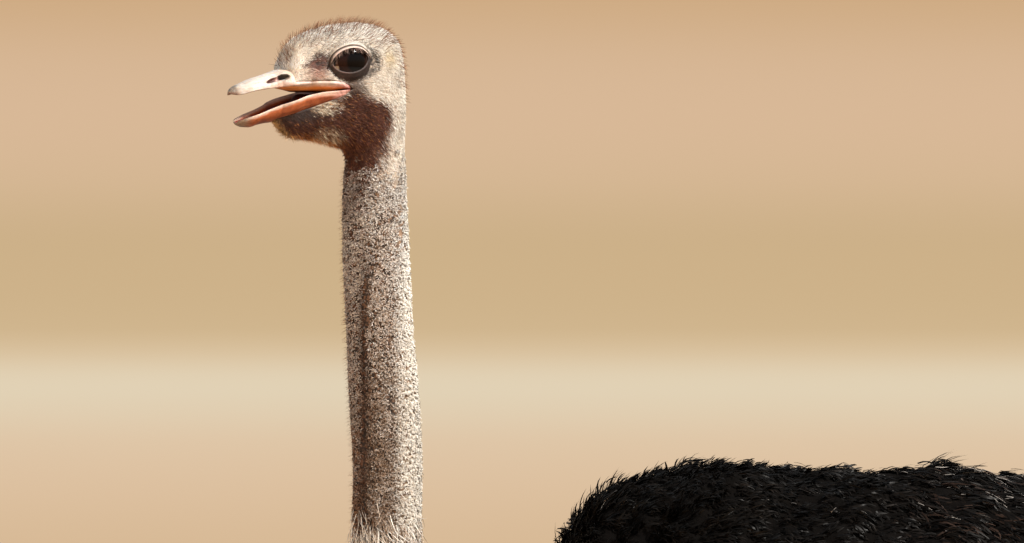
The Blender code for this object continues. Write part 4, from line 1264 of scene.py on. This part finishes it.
# %% Roots, lines and ribbons
def scatter(grid, spacing, seed, density=None, part=(0, 1)):
    """Roots about `spacing` mm apart on a grid: cells are taken in proportion to their area x
    density, and each root is at a random place in its cell. Returns points, normals, and places
    on the skin's unwrap, where part (k, n) is the k-th of n strips of it."""
    pick = np.random.default_rng(seed)
    a, b, c, d = grid[:-1, :-1], grid[1:, :-1], grid[:-1, 1:], grid[1:, 1:]
    area = 0.5 * np.linalg.norm(np.cross(d - a, c - b), axis=-1)
    weight = area / spacing**2
    if density is not None:
        weight = weight * density((a + b + c + d) / 4)
    order = pick.permutation(weight.size)
    total = np.cumsum(weight.ravel()[order])
    count = int(total[-1])
    drawn = np.searchsorted(total, np.arange(count) + pick.random(count))
    cell = order[np.minimum(drawn, weight.size - 1)]
    i, j = np.divmod(cell, weight.shape[1])
    u, v = pick.random((2, count, 1))

    def between(field):
        low = field[i, j] * (1 - v) + field[i, j + 1] * v
        return low * (1 - u) + (field[i + 1, j] * (1 - v) + field[i + 1, j + 1] * v) * u

    row, column = (i + u[:, 0]) / (grid.shape[0] - 1), (j + v[:, 0]) / (grid.shape[1] - 1)
    place = np.stack([0.004 + 0.99 * row, (part[0] + 0.01 + 0.98 * column) / part[1]], axis=-1)
    return between(grid), unit(between(normals_of(grid))), place


def lines(root, normal, lie, length, rise, fall, sway, steps):
    """Centre lines of steps + 1 points. At share t the line heads along lie turned towards the
    normal by rise - fall x t, and sideways by sway x t, all in radians."""
    side = unit(np.cross(normal, lie))
    t = (np.arange(steps) + 0.5) / steps
    lift = rise[:, None] - fall[:, None] * t
    swing = sway[:, None] * t
    heading = (
        (np.cos(lift) * np.cos(swing))[..., None] * lie[:, None]
        + np.sin(lift)[..., None] * normal[:, None]
        + (np.cos(lift) * np.sin(swing))[..., None] * side[:, None]
    )
    step = heading * (length / steps)[:, None, None]
    path = np.concatenate([root[:, None], root[:, None] + np.cumsum(step, axis=1)], axis=1)
    return path, heading, side


BAKE_PATCH = 0.003  # how wide a ribbon's own place on the skin's unwrap is


def ribbons(path, side, width, base, tip, uv, roll=None):
    """A ribbon for each path, width x (1 - t)^0.5 wide and pointed, 2 points at every step but
    the last. Returns points, triangles, tint and uv, ready for add_mesh."""
    count, points_each = path.shape[:2]
    steps = points_each - 1
    t = np.arange(steps) / steps
    heading = unit(path[:, 1:] - path[:, :-1])
    across = unit(side[:, None] - heading * (heading * side[:, None]).sum(-1, keepdims=True))
    if roll is not None:
        other = np.cross(heading, across)
        across = across * np.cos(roll)[:, None, None] + other * np.sin(roll)[:, None, None]
    half = 0.5 * width[:, None] * (1 - t) ** 0.5
    half[:, 0] *= 0.7
    left = path[:, :-1] - across * half[..., None]
    right = path[:, :-1] + across * half[..., None]
    body = np.stack([left, right], axis=2).reshape(count, 2 * steps, 3)
    points = np.concatenate([body, path[:, -1:]], axis=1)
    k = 2 * np.arange(steps - 1)
    end = np.array([[2 * steps - 2, 2 * steps - 1, 2 * steps]])
    one = np.concatenate([np.stack([k, k + 1, k + 3], 1), np.stack([k, k + 3, k + 2], 1), end])
    faces = (one[None] + (np.arange(count) * (2 * steps + 1))[:, None, None]).reshape(-1, 3)
    share = np.concatenate([np.repeat(t, 2), [1.0]])[None, :, None]
    tint = base[:, None] * (1 - share) + tip[:, None] * share
    corners = np.stack([np.append(np.tile([0.0, 1.0], steps), 0.5), share[0, :, 0]], axis=-1)
    patch = BAKE_PATCH * (corners - 0.5)
    return points.reshape(-1, 3), faces, tint.reshape(-1, 3), (uv[:, None] + patch).reshape(-1, 2)


def grown(root, normal, lie, bend, width, base, tip, uv, roll=None):
    """Ribbons from roots on the unturned head or neck, carried to where it is turned. bend holds
    the length, rise, fall, sway and steps of their lines."""
    path, _, side = lines(root, normal, lie, *bend)
    points, *rest = ribbons(path, side, width, base, tip, uv, roll)
    return twisted(points), *rest


def plant(name, parts, finish, most=190000):
    """One or more pieces of coat from ribbons' arrays, each under `most` triangles."""
    starts = np.cumsum([0] + [len(part[0]) for part in parts])
    points, faces, tint, uv = (np.concatenate(field) for field in zip(*(
        (p, f + start, c, place) for (p, f, c, place), start in zip(parts, starts)
    )))
    share = max(1, math.ceil(len(faces) / most))
    for k in range(share):
        chosen = faces[len(faces) * k // share : len(faces) * (k + 1) // share]
        used, index = np.unique(chosen, return_inverse=True)
        label = name if share == 1 else f"{name}_{k + 1}"
        piece = add_mesh(label, points[used], index.reshape(-1, 3), finish, tint[used], uv[used])


print("ribbons, lines and roots ready")

# %% [markdown]
# ## Down of the head and neck
# The head wears short soft down, a few millimetres long, that lies backwards from the bill, and
# over its crown and nape stand thin bristles, which catch the light. The neck's down is longer
# and curls: each curl is six woolly threads. Between them the brown skin shows.

# %% Down on the head
def tangent(direction, normal):
    """The direction with its part along the normal taken away, made 1 long."""
    return unit(direction - normal * (direction * normal).sum(-1, keepdims=True))


def outward(grid, centre):
    """The grid with its columns reversed if its normals face its middle."""
    facing = ((grid - centre) * normals_of(grid)).sum(-1).mean()
    return grid if facing > 0 else grid[:, ::-1]


def closed_round(grid):
    """A ring grid with its first column repeated at its end."""
    return np.concatenate([grid, grid[:, :1]], axis=1)


# Rows of the skin's grids: where the head's down begins, and where the coats of the neck, of its
# front edge, of the collar and of the neck's foot end.
HEAD_FROM, NECK_TO, EDGE_TO, COLLAR_TO, FOOT_TO = 172, 250, 200, 122, 60
HAIR = 0.40  # width of a head ribbon in mm


def head_density(points):
    """Down covers the head but for the mouth, the eye and what lies in front of the horn's line."""
    placed = twisted(points)
    s, out, up = head_frame(placed)
    cover = marking(placed)[1]
    in_mouth = (up < curve(UPPER_EDGE, s) - 0.5) & (up > curve(LOWER_EDGE, s) + 0.5) & (s < 125)
    a, b = (s - EYE_S - 1.5) / 25.5, (up - EYE_UP - 1.2) / 19.0
    on_eye = (a * a + b * b < 1) & (out > 12)
    front = np.interp(up, (-40, 5, 9, 16, 20.5, 26, 40), (46, 61, 61, 61, 57.5, 52, 48))
    front = front + 2.2 * waves(points, 5, 77)
    thin = 1 - 0.75 * (1 - ease(s - front, 1, 12)) * ease(up, 2, 7) * (1 - ease(up, 18, 24))
    return ease(up, -112, -66) * cover * thin * ~in_mouth * ~on_eye * (s > front)


def head_coat(grid, seed, part):
    """Down for one grid of the head's skin. It lies backwards, stands up the forehead's front,
    and is longest under the jaw."""
    root, normal, uv = scatter(grid, 0.82, seed, head_density, part)
    pick = np.random.default_rng(seed + 50)
    n = len(root)
    s, _, up = head_frame(twisted(root))
    way = np.array([1.0, 0, -0.25]) + 0 * root
    way[:, 2] -= 1.2 * ease(s, 150, 185) + 0.5 * ease(-up, 10, 40)
    way[:, 1] += 0.12 * np.sign(root[:, 1])
    front = (1 - ease(s, 60, 84)) * ease(up, 15, 24)
    dark = ease(-up, 0, 8) * ease(178 - s, -4, 4)
    chin = ease(-up, 22, 32) * (1 - ease(s, 62, 84)) * ease(0.6 - np.abs(normal[:, 1]), 0, 0.3)
    for share, other in ((front[:, None], (-0.12, 0, 1.0)), (chin[:, None], (-1.0, 0, -0.6))):
        way = way * (1 - share) + np.array(other) * share
    lie = tangent(way + pick.normal(0, 0.22, (n, 3)), normal)
    crown = ease(up, 30, 56) + 0.6 * ease(s, 172, 190) * ease(up, -70, 0)
    under = ease(-up, 34, 50) * ease(-normal[:, 2], 0.1, 0.8)
    length = 2.5 + 1.0 * crown + 1.2 * front + 4.0 * under + 1.0 * dark + 2.5 * chin
    length = length * pick.uniform(0.7, 1.35, n)
    rise = np.radians(24 + 8 * crown + 12 * front + 22 * under) + pick.normal(0, 0.16, n)
    bend = length, rise, pick.uniform(0.1, 0.8, n), pick.normal(0, 0.28, n), 3
    colour = marking(twisted(root) + pick.normal(0, 2.4, (n, 3)))[0]
    speck = pick.random(n)
    colour = layered(
        colour,
        ("#7d6855", 0.65 * (speck < 0.15 * (1 - dark) * (1 - 0.6 * ease(up, 40, 60)))),
        ("#a9713f", 0.7 * (speck < 0.08 * dark)),
        ("#e3b983", 0.7 * chin),
    )
    level = np.stack([0.28 * (0.85 * s - 0.5 * up), 0.5 * s + 0.85 * up, 0.3 * root[:, 1]], -1)
    streak = 1 + 0.22 * waves(level, 3.2, 71)
    # Painted light: down at the forehead's front and over the bill's base is made brighter, at root and tip,
    # against its shade.
    pale = bump(s, up, 56, 22, 12, 11)
    shade = np.exp(pick.normal(0.0, 0.14 + 0.16 * dark, n)) * streak * (1 + 0.75 * front)
    shade = (shade * (1 + 0.35 * pale))[:, None]
    tip = np.minimum(colour * shade * (1.1 + 0.15 * dark[:, None]), 0.95)
    base = np.minimum(colour * np.clip(0.72 + 0.2 * front + 0.3 * pale, 0, 1)[:, None] * shade, 0.95)
    return grown(root, normal, lie, bend, np.full(n, HAIR), base, tip, uv, pick.normal(0, 0.6, n))


SKINS = upper_skin, lower_skin
plant("down_head", [head_coat(g[HEAD_FROM:], 11 + k, (k, 2)) for k, g in enumerate(SKINS)], DOWN)

# %% [markdown]
# ## Down on the lids
# The lids' outer fold wears the same down, shorter, so that the bare rim is framed by it.

# %% Down on the lids
def lid_coat(side, part):
    """Fine down on the lids' outer fold, and sparser on the dark skin under the eye."""
    grid = outward(closed_round(lid_grids[side][9:]), from_tip(EYE_S, 0, EYE_UP))

    def density(points):
        a, b, _ = eye_coordinates(points, side)
        return np.where(b > 1, 1.0, ease((a / 27.5) ** 2 + (b / 19.5) ** 2, 0.75, 1.1))

    root, normal, uv = scatter(grid, 0.72, 15 + side, density, part)
    pick = np.random.default_rng(65 + side)
    n = len(root)
    a, b, _ = eye_coordinates(root, side)
    way = np.array([0.8, 0, 0.0]) + np.stack([a * 0.02, 0 * a, b * 0.05], -1)
    lie = tangent(way + pick.normal(0, 0.35, (n, 3)), normal)
    colour = marking(twisted(root) + pick.normal(0, 1.6, (n, 3)))[0]
    shade = np.exp(pick.normal(0.0, 0.2, n))[:, None]
    length, rise = pick.uniform(1.3, 2.6, n), np.radians(pick.uniform(14, 44, n))
    bend = length, rise, pick.uniform(0.1, 0.8, n), pick.normal(0, 0.5, n), 2
    tip = np.minimum(colour * shade * 1.1, 0.95)
    return grown(root, normal, lie, bend, np.full(n, HAIR), colour * 0.6 * shade, tip, uv)


plant("down_lids", [lid_coat(side, (k, 2)) for k, (_, side) in enumerate(SIDES)], DOWN)

# %% [markdown]
# ## Bristles on the head
# Over the down stand thin brown bristles: on the crown, up the middle of the forehead and down
# the nape.

# %% Bristles on the head
def bristle_density(points):
    """Bristles stand on the crown, up the forehead's middle and down the nape."""
    s, out, up = head_frame(twisted(points))
    brow = 1.3 * ease(up, 20, 30) * (1 - ease(s, 62, 82)) * ease(17 - out, 0, 5)
    crown = ease(up, 34, 54) + brow + 0.6 * ease(s, 172, 188) * ease(up, -30, 10)
    return head_density(points) * np.clip(crown, 0, 1)


def bristles(root, normal, lie, bend, uv, width, hue, least, most):
    """Brown ribbons, lighter at their tips and each rolled at random, between least and most
    times as bright as the hue."""
    n = len(root)
    brown = rgb(hue) * rng.uniform(least, most, n)[:, None]
    roll = rng.uniform(0, 3.1, n)
    return [grown(root, normal, lie, bend, np.full(n, width), brown, brown * 1.3, uv, roll)]


root, normal, uv = scatter(upper_skin[HEAD_FROM:], 2.4, 21, bristle_density)
n = len(root)
s = head_frame(twisted(root))[0]
lie = np.array([1.0, 0, 0.5]) - np.array([0, 0, 1.4]) * ease(s, 160, 190)[:, None]
lie = lie - np.array([1.4, 0, 0]) * (1 - ease(s, 58, 84))[:, None]
lie = tangent(lie + rng.normal(0, 0.35, (n, 3)), normal)
length = rng.uniform(6.5, 11.5, n) * (1 + 0.15 * ease(s, 80, 120) - 0.35 * ease(s, 165, 190))
bend = length, np.radians(rng.uniform(40, 80, n)), rng.uniform(0.1, 0.6, n), rng.normal(0, 0.25, n), 4
plant("bristles_head", bristles(root, normal, lie, bend, uv, HAIR, "#6e4c36", 0.5, 1.6), DOWN)

# %% [markdown]
# ## Wool of the neck
# The wool is curls of six threads from one root, thin in the groove down each side of the neck.

# %% Neck down
def groove_share(points):
    """1 in the groove down each side of the neck and 0 away from it."""
    level, z = (points[..., 0] - 7.0) / 32.0, points[..., 2]
    return np.exp(-(((level + 0.70) / 0.13) ** 2)) * ease(z, 1290, 1350) * (1 - ease(z, 1590, 1660))


def neck_density(points):
    """Wool from under the jaw to the collar, a little patchy, full down the back and thin in the
    groove."""
    z = points[..., 2]
    level = ease(GAPE_Z - z + 9 * waves(points, 22, 47), 56, 104) * ease(z, 1330, 1356)
    gaps = 1.0 + 0.15 * waves(points, 24, 41)
    back = ease(points[..., 0], 12, 26)
    return level * np.clip(gaps + back, 0.3, 1.25) * (1 - 0.8 * groove_share(points))


def neck_coat(grid, seed, part, threads=6):
    """Curls of down: each root carries six threads that stand up, fan out all round and curl
    over, dark brown at the foot as painted shade and pale at the top, so every curl is a pale knob
    with a dark rim."""
    root, normal, uv = scatter(grid, 3.1, seed, neck_density, part)
    pick = np.random.default_rng(seed + 50)
    colour = marking(twisted(root) + pick.normal(0, 3, root.shape))[0]
    x, z = root[:, 0], root[:, 2]
    back, high = ease(x, 12, 30), ease(z, 1420, 1640)
    dark = ease(0.36 - colour[:, 0], 0, 0.2) * (1 - ease(GAPE_Z - z, 100, 200))
    breast = 0.3 * ease(-x, 10, 22) * ease(z, 1400, 1480)
    count = len(root)
    # In part painted light: tips are paler down the back, on the front and high up, and darker low down the
    # back.
    bright = 0.42 + 0.13 * waves(root, 34, 43) + 0.25 * pick.normal(size=count)
    bright = np.clip(bright + 0.5 * back - 0.5 * dark + breast + 0.5 * high - 0.28, 0, 1)
    tip = mixed(colour, "#f3ede6", bright) * (1 - 0.22 * back * (1 - high))[:, None]
    # Painted shade: tips turn dark brown in the groove down each side of the neck.
    tip = mixed(tip, "#4c3327", 0.85 * groove_share(root))
    base = layered(colour * 0.3, ("#3a2014", np.full(count, 0.7)), ("#e0d6c6", 0.85 * back))
    spin = 2 * math.pi * (np.arange(threads) / threads + pick.random((count, 1)))
    n = count * threads
    spin = spin.ravel() + pick.normal(0, 0.35, n)
    root, normal, uv, tip, base, back = (
        np.repeat(x, threads, axis=0) for x in (root, normal, uv, tip, base, back)
    )
    first = tangent(np.array([0.0, 0, -1.0]) + 0 * normal, normal)
    second = np.cross(normal, first)
    fan = np.cos(spin)[:, None] * first + np.sin(spin)[:, None] * second
    lie = tangent(fan + first * (0.35 + 0.5 * back[:, None]) + pick.normal(0, 0.25, (n, 3)), normal)
    length = pick.uniform(3.2, 5.4, n) * (1 + 0.2 * back)
    rise = np.radians(pick.uniform(62, 100, n))
    bend = length, rise, pick.uniform(1.6, 3.4, n), pick.normal(0, 1.0, n), 3
    tip = np.minimum(tip * np.exp(pick.normal(0, 0.12, (n, 1))), 0.95)
    width = pick.uniform(0.9, 1.7, n)
    return grown(root + 0.35 * fan, normal, lie, bend, width, base, tip, uv, pick.normal(0, 0.4, n))


plant("down_neck", [neck_coat(g[:NECK_TO], 31 + k, (k, 2)) for k, g in enumerate(SKINS)], DOWN)

# %% [markdown]
# ## Bristles down the neck
# A few stiff bristles stand out of the wool, along the front of the neck and down its back.

# %% Bristles down the neck
def edge_bristles(points):
    """Sparse on the front of the neck and down its back."""
    z = points[..., 2]
    front, back = ease(-points[..., 0], 18, 30), 0.5 * ease(points[..., 0], 26, 36)
    return ease(z, 1320, 1400) * ease(GAPE_Z - 60 - z, 0, 20) * (front + back)


root, normal, uv = scatter(lower_skin[:EDGE_TO], 3.4, 23, edge_bristles)
n = len(root)
lie = tangent(np.array([0.0, 0, -1.0]) + rng.normal(0, 0.5, (n, 3)), normal)
length, rise = rng.uniform(5, 9.5, n), np.radians(rng.uniform(55, 88, n))
bend = length, rise, rng.uniform(0.0, 0.4, n), rng.normal(0, 0.2, n), 3
plant("bristles_neck", bristles(root, normal, lie, bend, uv, 0.28, "#7a5443", 0.6, 1.4), DOWN)

# %% [markdown]
# ## Plumage
# A cock's body plumes are soft and lax: a thin shaft with a loose barb every few millimetres on
# either side, and nothing to hook one barb to the next, so they hang like hair. Each plume is
# grown in two steps with the tools above. First its shaft, and then along the shaft a row of
# barbs on each side, which leave it at 22 to 52 degrees and bend on from there.

# %% Plumes
SHAFT_STEPS, SHAFT_WIDTH = 5, 1.5


def plumes(root, normal, lie, bend, width, barbs, uv, base, tip, pick, droop):
    """Ribbons of plumes: a shaft, whose length, rise, fall and sway are in bend, and `barbs`
    barbs on each side of it. Barbs are as long as width x (0.45 + 0.55 sin(pi t)), and droop
    turns their ends down, in mm."""
    n, many = len(root), len(root) * barbs
    path, heading, side = lines(root, normal, lie, *bend, SHAFT_STEPS)
    parts = [ribbons(path, side, np.full(n, SHAFT_WIDTH), base, tip, uv)]
    t = np.linspace(0.10, 1.0, barbs)
    k = np.minimum((t * SHAFT_STEPS).astype(int), SHAFT_STEPS - 1)
    f = (t * SHAFT_STEPS - k)[None, :, None]
    place = (path[:, k] * (1 - f) + path[:, k + 1] * f).reshape(many, 3)
    way, out = heading[:, k], side[:, None]
    up = np.cross(way, np.broadcast_to(out, way.shape))
    flat_up, barb_uv = up.reshape(many, 3), np.repeat(uv, barbs, axis=0)
    swell = width[:, None] * (0.45 + 0.55 * np.sin(math.pi * np.clip(t, 0, 0.97)))
    for hand in (-1, 1):
        splay = np.radians(pick.uniform(22, 52, (n, barbs, 1)))
        head = way * np.cos(splay) + hand * out * np.sin(splay) + up * pick.normal(0, 0.20, (n, barbs, 1))
        reach = (swell * pick.uniform(0.7, 1.25, (n, barbs))).ravel()
        head = unit(head).reshape(many, 3)
        over = unit(np.cross(head, flat_up)) * hand
        fall, sway = pick.normal(0.5, 0.35, many), pick.normal(0, 0.45, many)
        barb = lines(place, over, head, reach, np.zeros(many), fall, sway, 3)[0]
        barb = barb - ((np.arange(4) / 3)[None, :, None] ** 2) * np.array([0, 0, droop])
        shade = np.repeat(base * 0.6 + tip * 0.4, barbs, axis=0) * pick.uniform(0.6, 1.5, (many, 1))
        thick, roll = pick.uniform(1.1, 2.0, many), pick.uniform(0.6, 2.4, many)
        parts.append(ribbons(barb, flat_up, thick, shade, shade * 1.2, barb_uv, roll))
    return parts


print("a shaft has", 2 * SHAFT_STEPS - 1, "triangles, and each of its barbs 5")

# %% [markdown]
# ## Black plumage
# Trunk and wings carry locks of loose barbs, twelve to a root. They stand up in curls on the
# back, lie down towards the saddle, and hang long down the flank.

# %% The body's and the wings' plumage
def body_lie(points, normal):
    """Plumes sweep towards the tail and down the flank, more so the lower they grow."""
    x, y, z = points[..., 0], points[..., 1], points[..., 2]
    down = -0.25 - 0.9 * ease(-z, -1330, -1050)
    return tangent(np.stack([np.ones_like(x), 0.25 * np.sign(y), down], axis=-1), normal)


trunk_coat = outward(closed_round(trunk), (640, 0, 1090))


def trunk_density(points):
    """Full on the back, thinner below, where locks are long, and least where a wing lies over."""
    x, y, z = points[..., 0], np.abs(points[..., 1]), points[..., 2]
    a, b = (x - 700) / 330, (z - 1110) / 150
    under_wing = (a * a + b * b < 1) & (y > 120)
    return np.where(under_wing, 0.06, 0.36 + 0.64 * ease(z, 1200, 1330))


def locks(grid, spacing, seed, threads, density, size, lean, hue, part=(0, 1), width=2.6):
    """Locks of loose barbs: each root carries a fan of them, all sweeping one way. size and lean
    give a lock's length in mm and its rise in degrees from its root. Neighbouring locks lean
    together, so that they part into clumps with ragged ends. Far back on the saddle the barbs
    are long and flat, some brown and silver as painted sheen, and a few silver ones anywhere are
    painted glints."""
    root, normal, uv = scatter(grid, spacing, seed, density, part)
    pick = np.random.default_rng(seed + 50)
    n, many = len(root), len(root) * threads
    clump = np.stack([waves(root, 60, seed + k) for k in (1, 2)], axis=-1)
    x, z = root[:, 0], root[:, 2]
    top = ease(z, 1240, 1330)
    saddle = ease(x, 505, 590) * top * (1 - 0.6 * ease(x, 800, 950))
    flat = ease(x, 330, 470) * top
    parting = 0.4 * clump[:, :1] * np.array([0.2, 1.0, 0.6]) * (1 - 0.6 * saddle[:, None])
    lie = body_lie(root, normal) + parting + pick.normal(0, 0.2, root.shape)
    rise = np.radians(lean(root)) * pick.uniform(0.5, 1.4, n) + 0.2 * clump[:, 1]
    rise = rise * (1 - 0.65 * flat) * (1 - 0.9 * saddle)
    long = size(root) * pick.uniform(0.75, 1.2, n) * (1 + 0.3 * clump[:, 1]) * (1 + 0.9 * saddle)
    black = rgb(hue) * np.exp(pick.normal(0, 0.3, n))[:, None]
    root, normal, uv, lie, rise, long, black, saddle = (
        np.repeat(each, threads, axis=0) for each in (root, normal, uv, lie, rise, long, black, saddle)
    )
    lie = tangent(lie + pick.normal(0, 0.22, (many, 3)) * (1 - 0.5 * saddle[:, None]), normal)
    start = root + pick.normal(0, 2.4, (many, 3))
    long = long * pick.uniform(0.6, 1.1, many)
    rise = rise + pick.normal(0, 0.13, many)
    fall = pick.uniform(0.3, 1.2, many) * (1 - 0.4 * saddle)
    path, _, side = lines(start, normal, lie, long, rise, fall, pick.normal(0, 0.5, many), 3)
    # Painted sheen and glints: brown and silver threads on the saddle, and a few silver ones anywhere.
    chance = pick.random(many)
    silver = chance < 0.003 + 0.09 * saddle * ease(root[:, 2], 1350, 1385)
    black = layered(
        black * pick.uniform(0.5, 1.6, (many, 1)),
        ("#3a2c25", 0.8 * saddle * (chance < 0.22)),
        ("#a09992", 0.8 * silver),
    )
    thick = width * pick.uniform(0.6, 1.2, many) * np.where(silver, 0.5, 1.0)
    return [ribbons(path, side, thick, black * 0.6, black, uv, pick.normal(0, 0.5, many))]


def back_size(points):
    """Short and curled on the back, longer at its front and down the flank."""
    return 15 + 9 * (1 - ease(points[:, 0], 200, 300)) + 50 * ease(-points[:, 2], -1320, -1080)


def back_lean(points):
    """Locks stand up on the back and lie flatter down the flank."""
    return 40 - 16 * ease(-points[:, 2], -1330, -1180)


def beyond(side, out):
    """A density of 1 further than `out` mm to one side of the bird, and of 0 elsewhere."""
    return lambda points: 1.0 * (side * points[..., 1] > out)


BLACK = "#0d0a08"
body_locks = locks(trunk_coat, 9.9, 61, 12, trunk_density, back_size, back_lean, BLACK, width=2.35)
plant("plumage_body", body_locks, PLUME)
wing_locks = []
for k, (_, side) in enumerate(SIDES):
    wing_coat = outward(closed_round(wings[side]), (WING[0], side * WING[1], WING[2]))
    wing_locks += locks(
        wing_coat, 15.6, 71 + side, 12, beyond(side, 150), lambda root: 58, lambda root: 15, BLACK, (k, 2)
    )
plant("plumage_wings", wing_locks, PLUME)

# %% [markdown]
# ## Pale plumes of wing and tail
# The long plumes that made the bird famous hang from the wing's edge and the tail. They are
# white in a cock, greyed by dust, and their barbs are so long and loose that each plume is as
# wide as it is thick.

# %% Wing plumes and tail plumes
# Loose barbs of white keratin, matt because they lie every way.
PALE = tinted("pale_plume", 0.75, mottle=0.12, scale=90)


def pale_coat(root, normal, lie, uv, length, width, barbs, seed, hue, lift=(10, 34), fall=0.6):
    """Pale plumes of about one length and width, that rise from the skin by lift degrees."""
    pick = np.random.default_rng(seed)
    n = len(root)
    size = pick.uniform(0.8, 1.2, n)
    pale = rgb(hue) * pick.uniform(0.75, 1.12, n)[:, None]
    rise = np.radians(pick.uniform(*lift, n))
    bend = length * size, rise, np.full(n, fall), pick.normal(0, 0.25, n)
    return plumes(root, normal, lie, bend, width * size, barbs, uv, pale * 0.75, pale, pick, 8.0)


wing_plumes = []
for k, (_, side) in enumerate(SIDES):
    lens = ellipsoid_grid(PLUMES, np.multiply(PLUMES_REACH, 0.55), PLUMES_DROOP, side, 24, 48)
    lens = outward(closed_round(lens), (PLUMES[0], side * PLUMES[1], PLUMES[2]))
    root, normal, uv = scatter(lens, 17, 81 + side, beyond(side, 120), (k, 2))
    way = np.array([0.55, 0.12 * side, -0.75]) + rng.normal(0, 0.22, root.shape)
    wing_plumes += pale_coat(root, normal, tangent(way, normal), uv, 78, 26, 12, 83 + side, "#d9d0c0")
plant("plumes_wing_pale", wing_plumes, PALE)
root, normal, uv = scatter(outward(closed_round(rump[1:-1]), (1150, 0, 1170)), 14, 91)
way = np.array([0.85, 0, -0.62]) + rng.normal(0, 0.2, root.shape) + root * (0, 0.004, 0)
tail_plumes = pale_coat(root, normal, tangent(way, normal), uv, 96, 32, 13, 93, "#c9baa2", (16, 52), 1.0)
plant("plumes_tail", tail_plumes, PALE)

# %% [markdown]
# ## The collar
# Long white down rings the neck's foot, and black plumes below it cover where the neck goes in.

# %% The collar and the plumes below it
def collar_density(points):
    """From the foot of the neck up to where its wool begins, with an uneven upper edge."""
    z = points[..., 2]
    return ease(-z + 9 * waves(points, 18, 105), -1376, -1340) * ease(z, 1105, 1150)


def collar_coat(grid, seed, part):
    """Long white down around the neck's foot, turning grey and then black as it goes down."""
    root, normal, uv = scatter(grid, 2.5, seed, collar_density, part)
    pick = np.random.default_rng(seed + 50)
    n = len(root)
    lie = tangent(np.array([0.35, 0, -1.0]) + pick.normal(0, 0.25, (n, 3)), normal)
    low = ease(-root[:, 2], -1262, -1205)
    brown = 0.8 * (pick.random(n) < 0.15 + 0.4 * ease(root[:, 0], -10, 15)) * (1 - low)
    white = painted(root, "#f6efe5", ("#1b1613", low), ("#8a6f58", brown))
    white = white * pick.uniform(0.75, 1.15, (n, 1))
    length, rise = pick.uniform(13, 28, n), pick.uniform(0.15, 0.5, n)
    bend = length, rise, pick.uniform(0.2, 0.7, n), pick.normal(0, 0.5, n), 4
    width = pick.uniform(0.7, 1.4, n)
    return grown(root, normal, lie, bend, width, white * 0.8, white, uv, pick.normal(0, 0.6, n))


collar = [collar_coat(g[:COLLAR_TO], 101 + k, (k, 2)) for k, g in enumerate(SKINS)]
plant("down_collar", collar, DOWN)

foot_skin = np.concatenate([g[:FOOT_TO] for g in SKINS], axis=1)
root, normal, uv = scatter(foot_skin, 11, 103, lambda points: ease(-points[..., 2], -1275, -1225))
pick = np.random.default_rng(104)
n = len(root)
lie = tangent(np.array([0.5, 0, -1.0]) + pick.normal(0, 0.25, (n, 3)), normal)
black = rgb("#1c1713") * pick.uniform(0.5, 1.5, (n, 1))
length, width = pick.uniform(45, 80, n), pick.uniform(14, 24, n)
bend = length, np.radians(pick.uniform(15, 40, n)), pick.uniform(0.5, 1.0, n), pick.normal(0, 0.3, n)
foot_plumes = plumes(root, normal, lie, bend, width, 9, uv, black * 0.6, black, pick, 4.0)
plant("plumes_neck_foot", foot_plumes, PLUME)

# %% [markdown]
# ## Lashes
# The lashes are bristles on the upper lid's margin. They stand out from the eye, hang down, and
# fan forwards and backwards along the lid.
# %% Lashes
lash_parts = []
for _, side in SIDES:
    angle = np.linspace(math.radians(10), math.radians(172), 130)
    angle = np.concatenate([angle, angle[:-1] + 0.015])
    n = len(angle)
    pick = np.random.default_rng(111)
    root = lid_points(side, np.full(n, 0.9), angle)
    c = math.radians(EYE_FORWARD)
    outwards = np.array([-math.sin(c), side * math.cos(c), 0.0])
    backwards = np.array([math.cos(c), side * math.sin(c), 0.0])
    along = (0.45 * np.cos(angle) + pick.normal(0, 0.12, n))[:, None]
    lie = unit(outwards * 0.6 - np.array([0, 0, 0.8]) + backwards * along)
    normal = unit(np.cross(lie, np.cross(np.array([0, 0, 1.0]) + 0 * lie, lie)))
    pale = mixed(np.zeros((n, 3)), "#a98a7c", pick.uniform(0.1, 1.0, n) * (pick.random(n) < 0.7))
    base, tip = 0.006 + pale, 0.006 + 0.6 * pale
    uv = np.stack([0.1 + 0.8 * angle / math.pi, np.full(n, 0.5 + 0.25 * side)], axis=-1)
    bend = pick.uniform(4.0, 8.0, n), np.full(n, 0.15), np.full(n, 0.4), pick.normal(0, 0.1, n), 4
    lash_parts.append(
        grown(root, normal, lie, bend, np.full(n, 0.6), base, tip, uv, pick.uniform(0, 3.1, n))
    )
plant("lashes", lash_parts, PLUME)
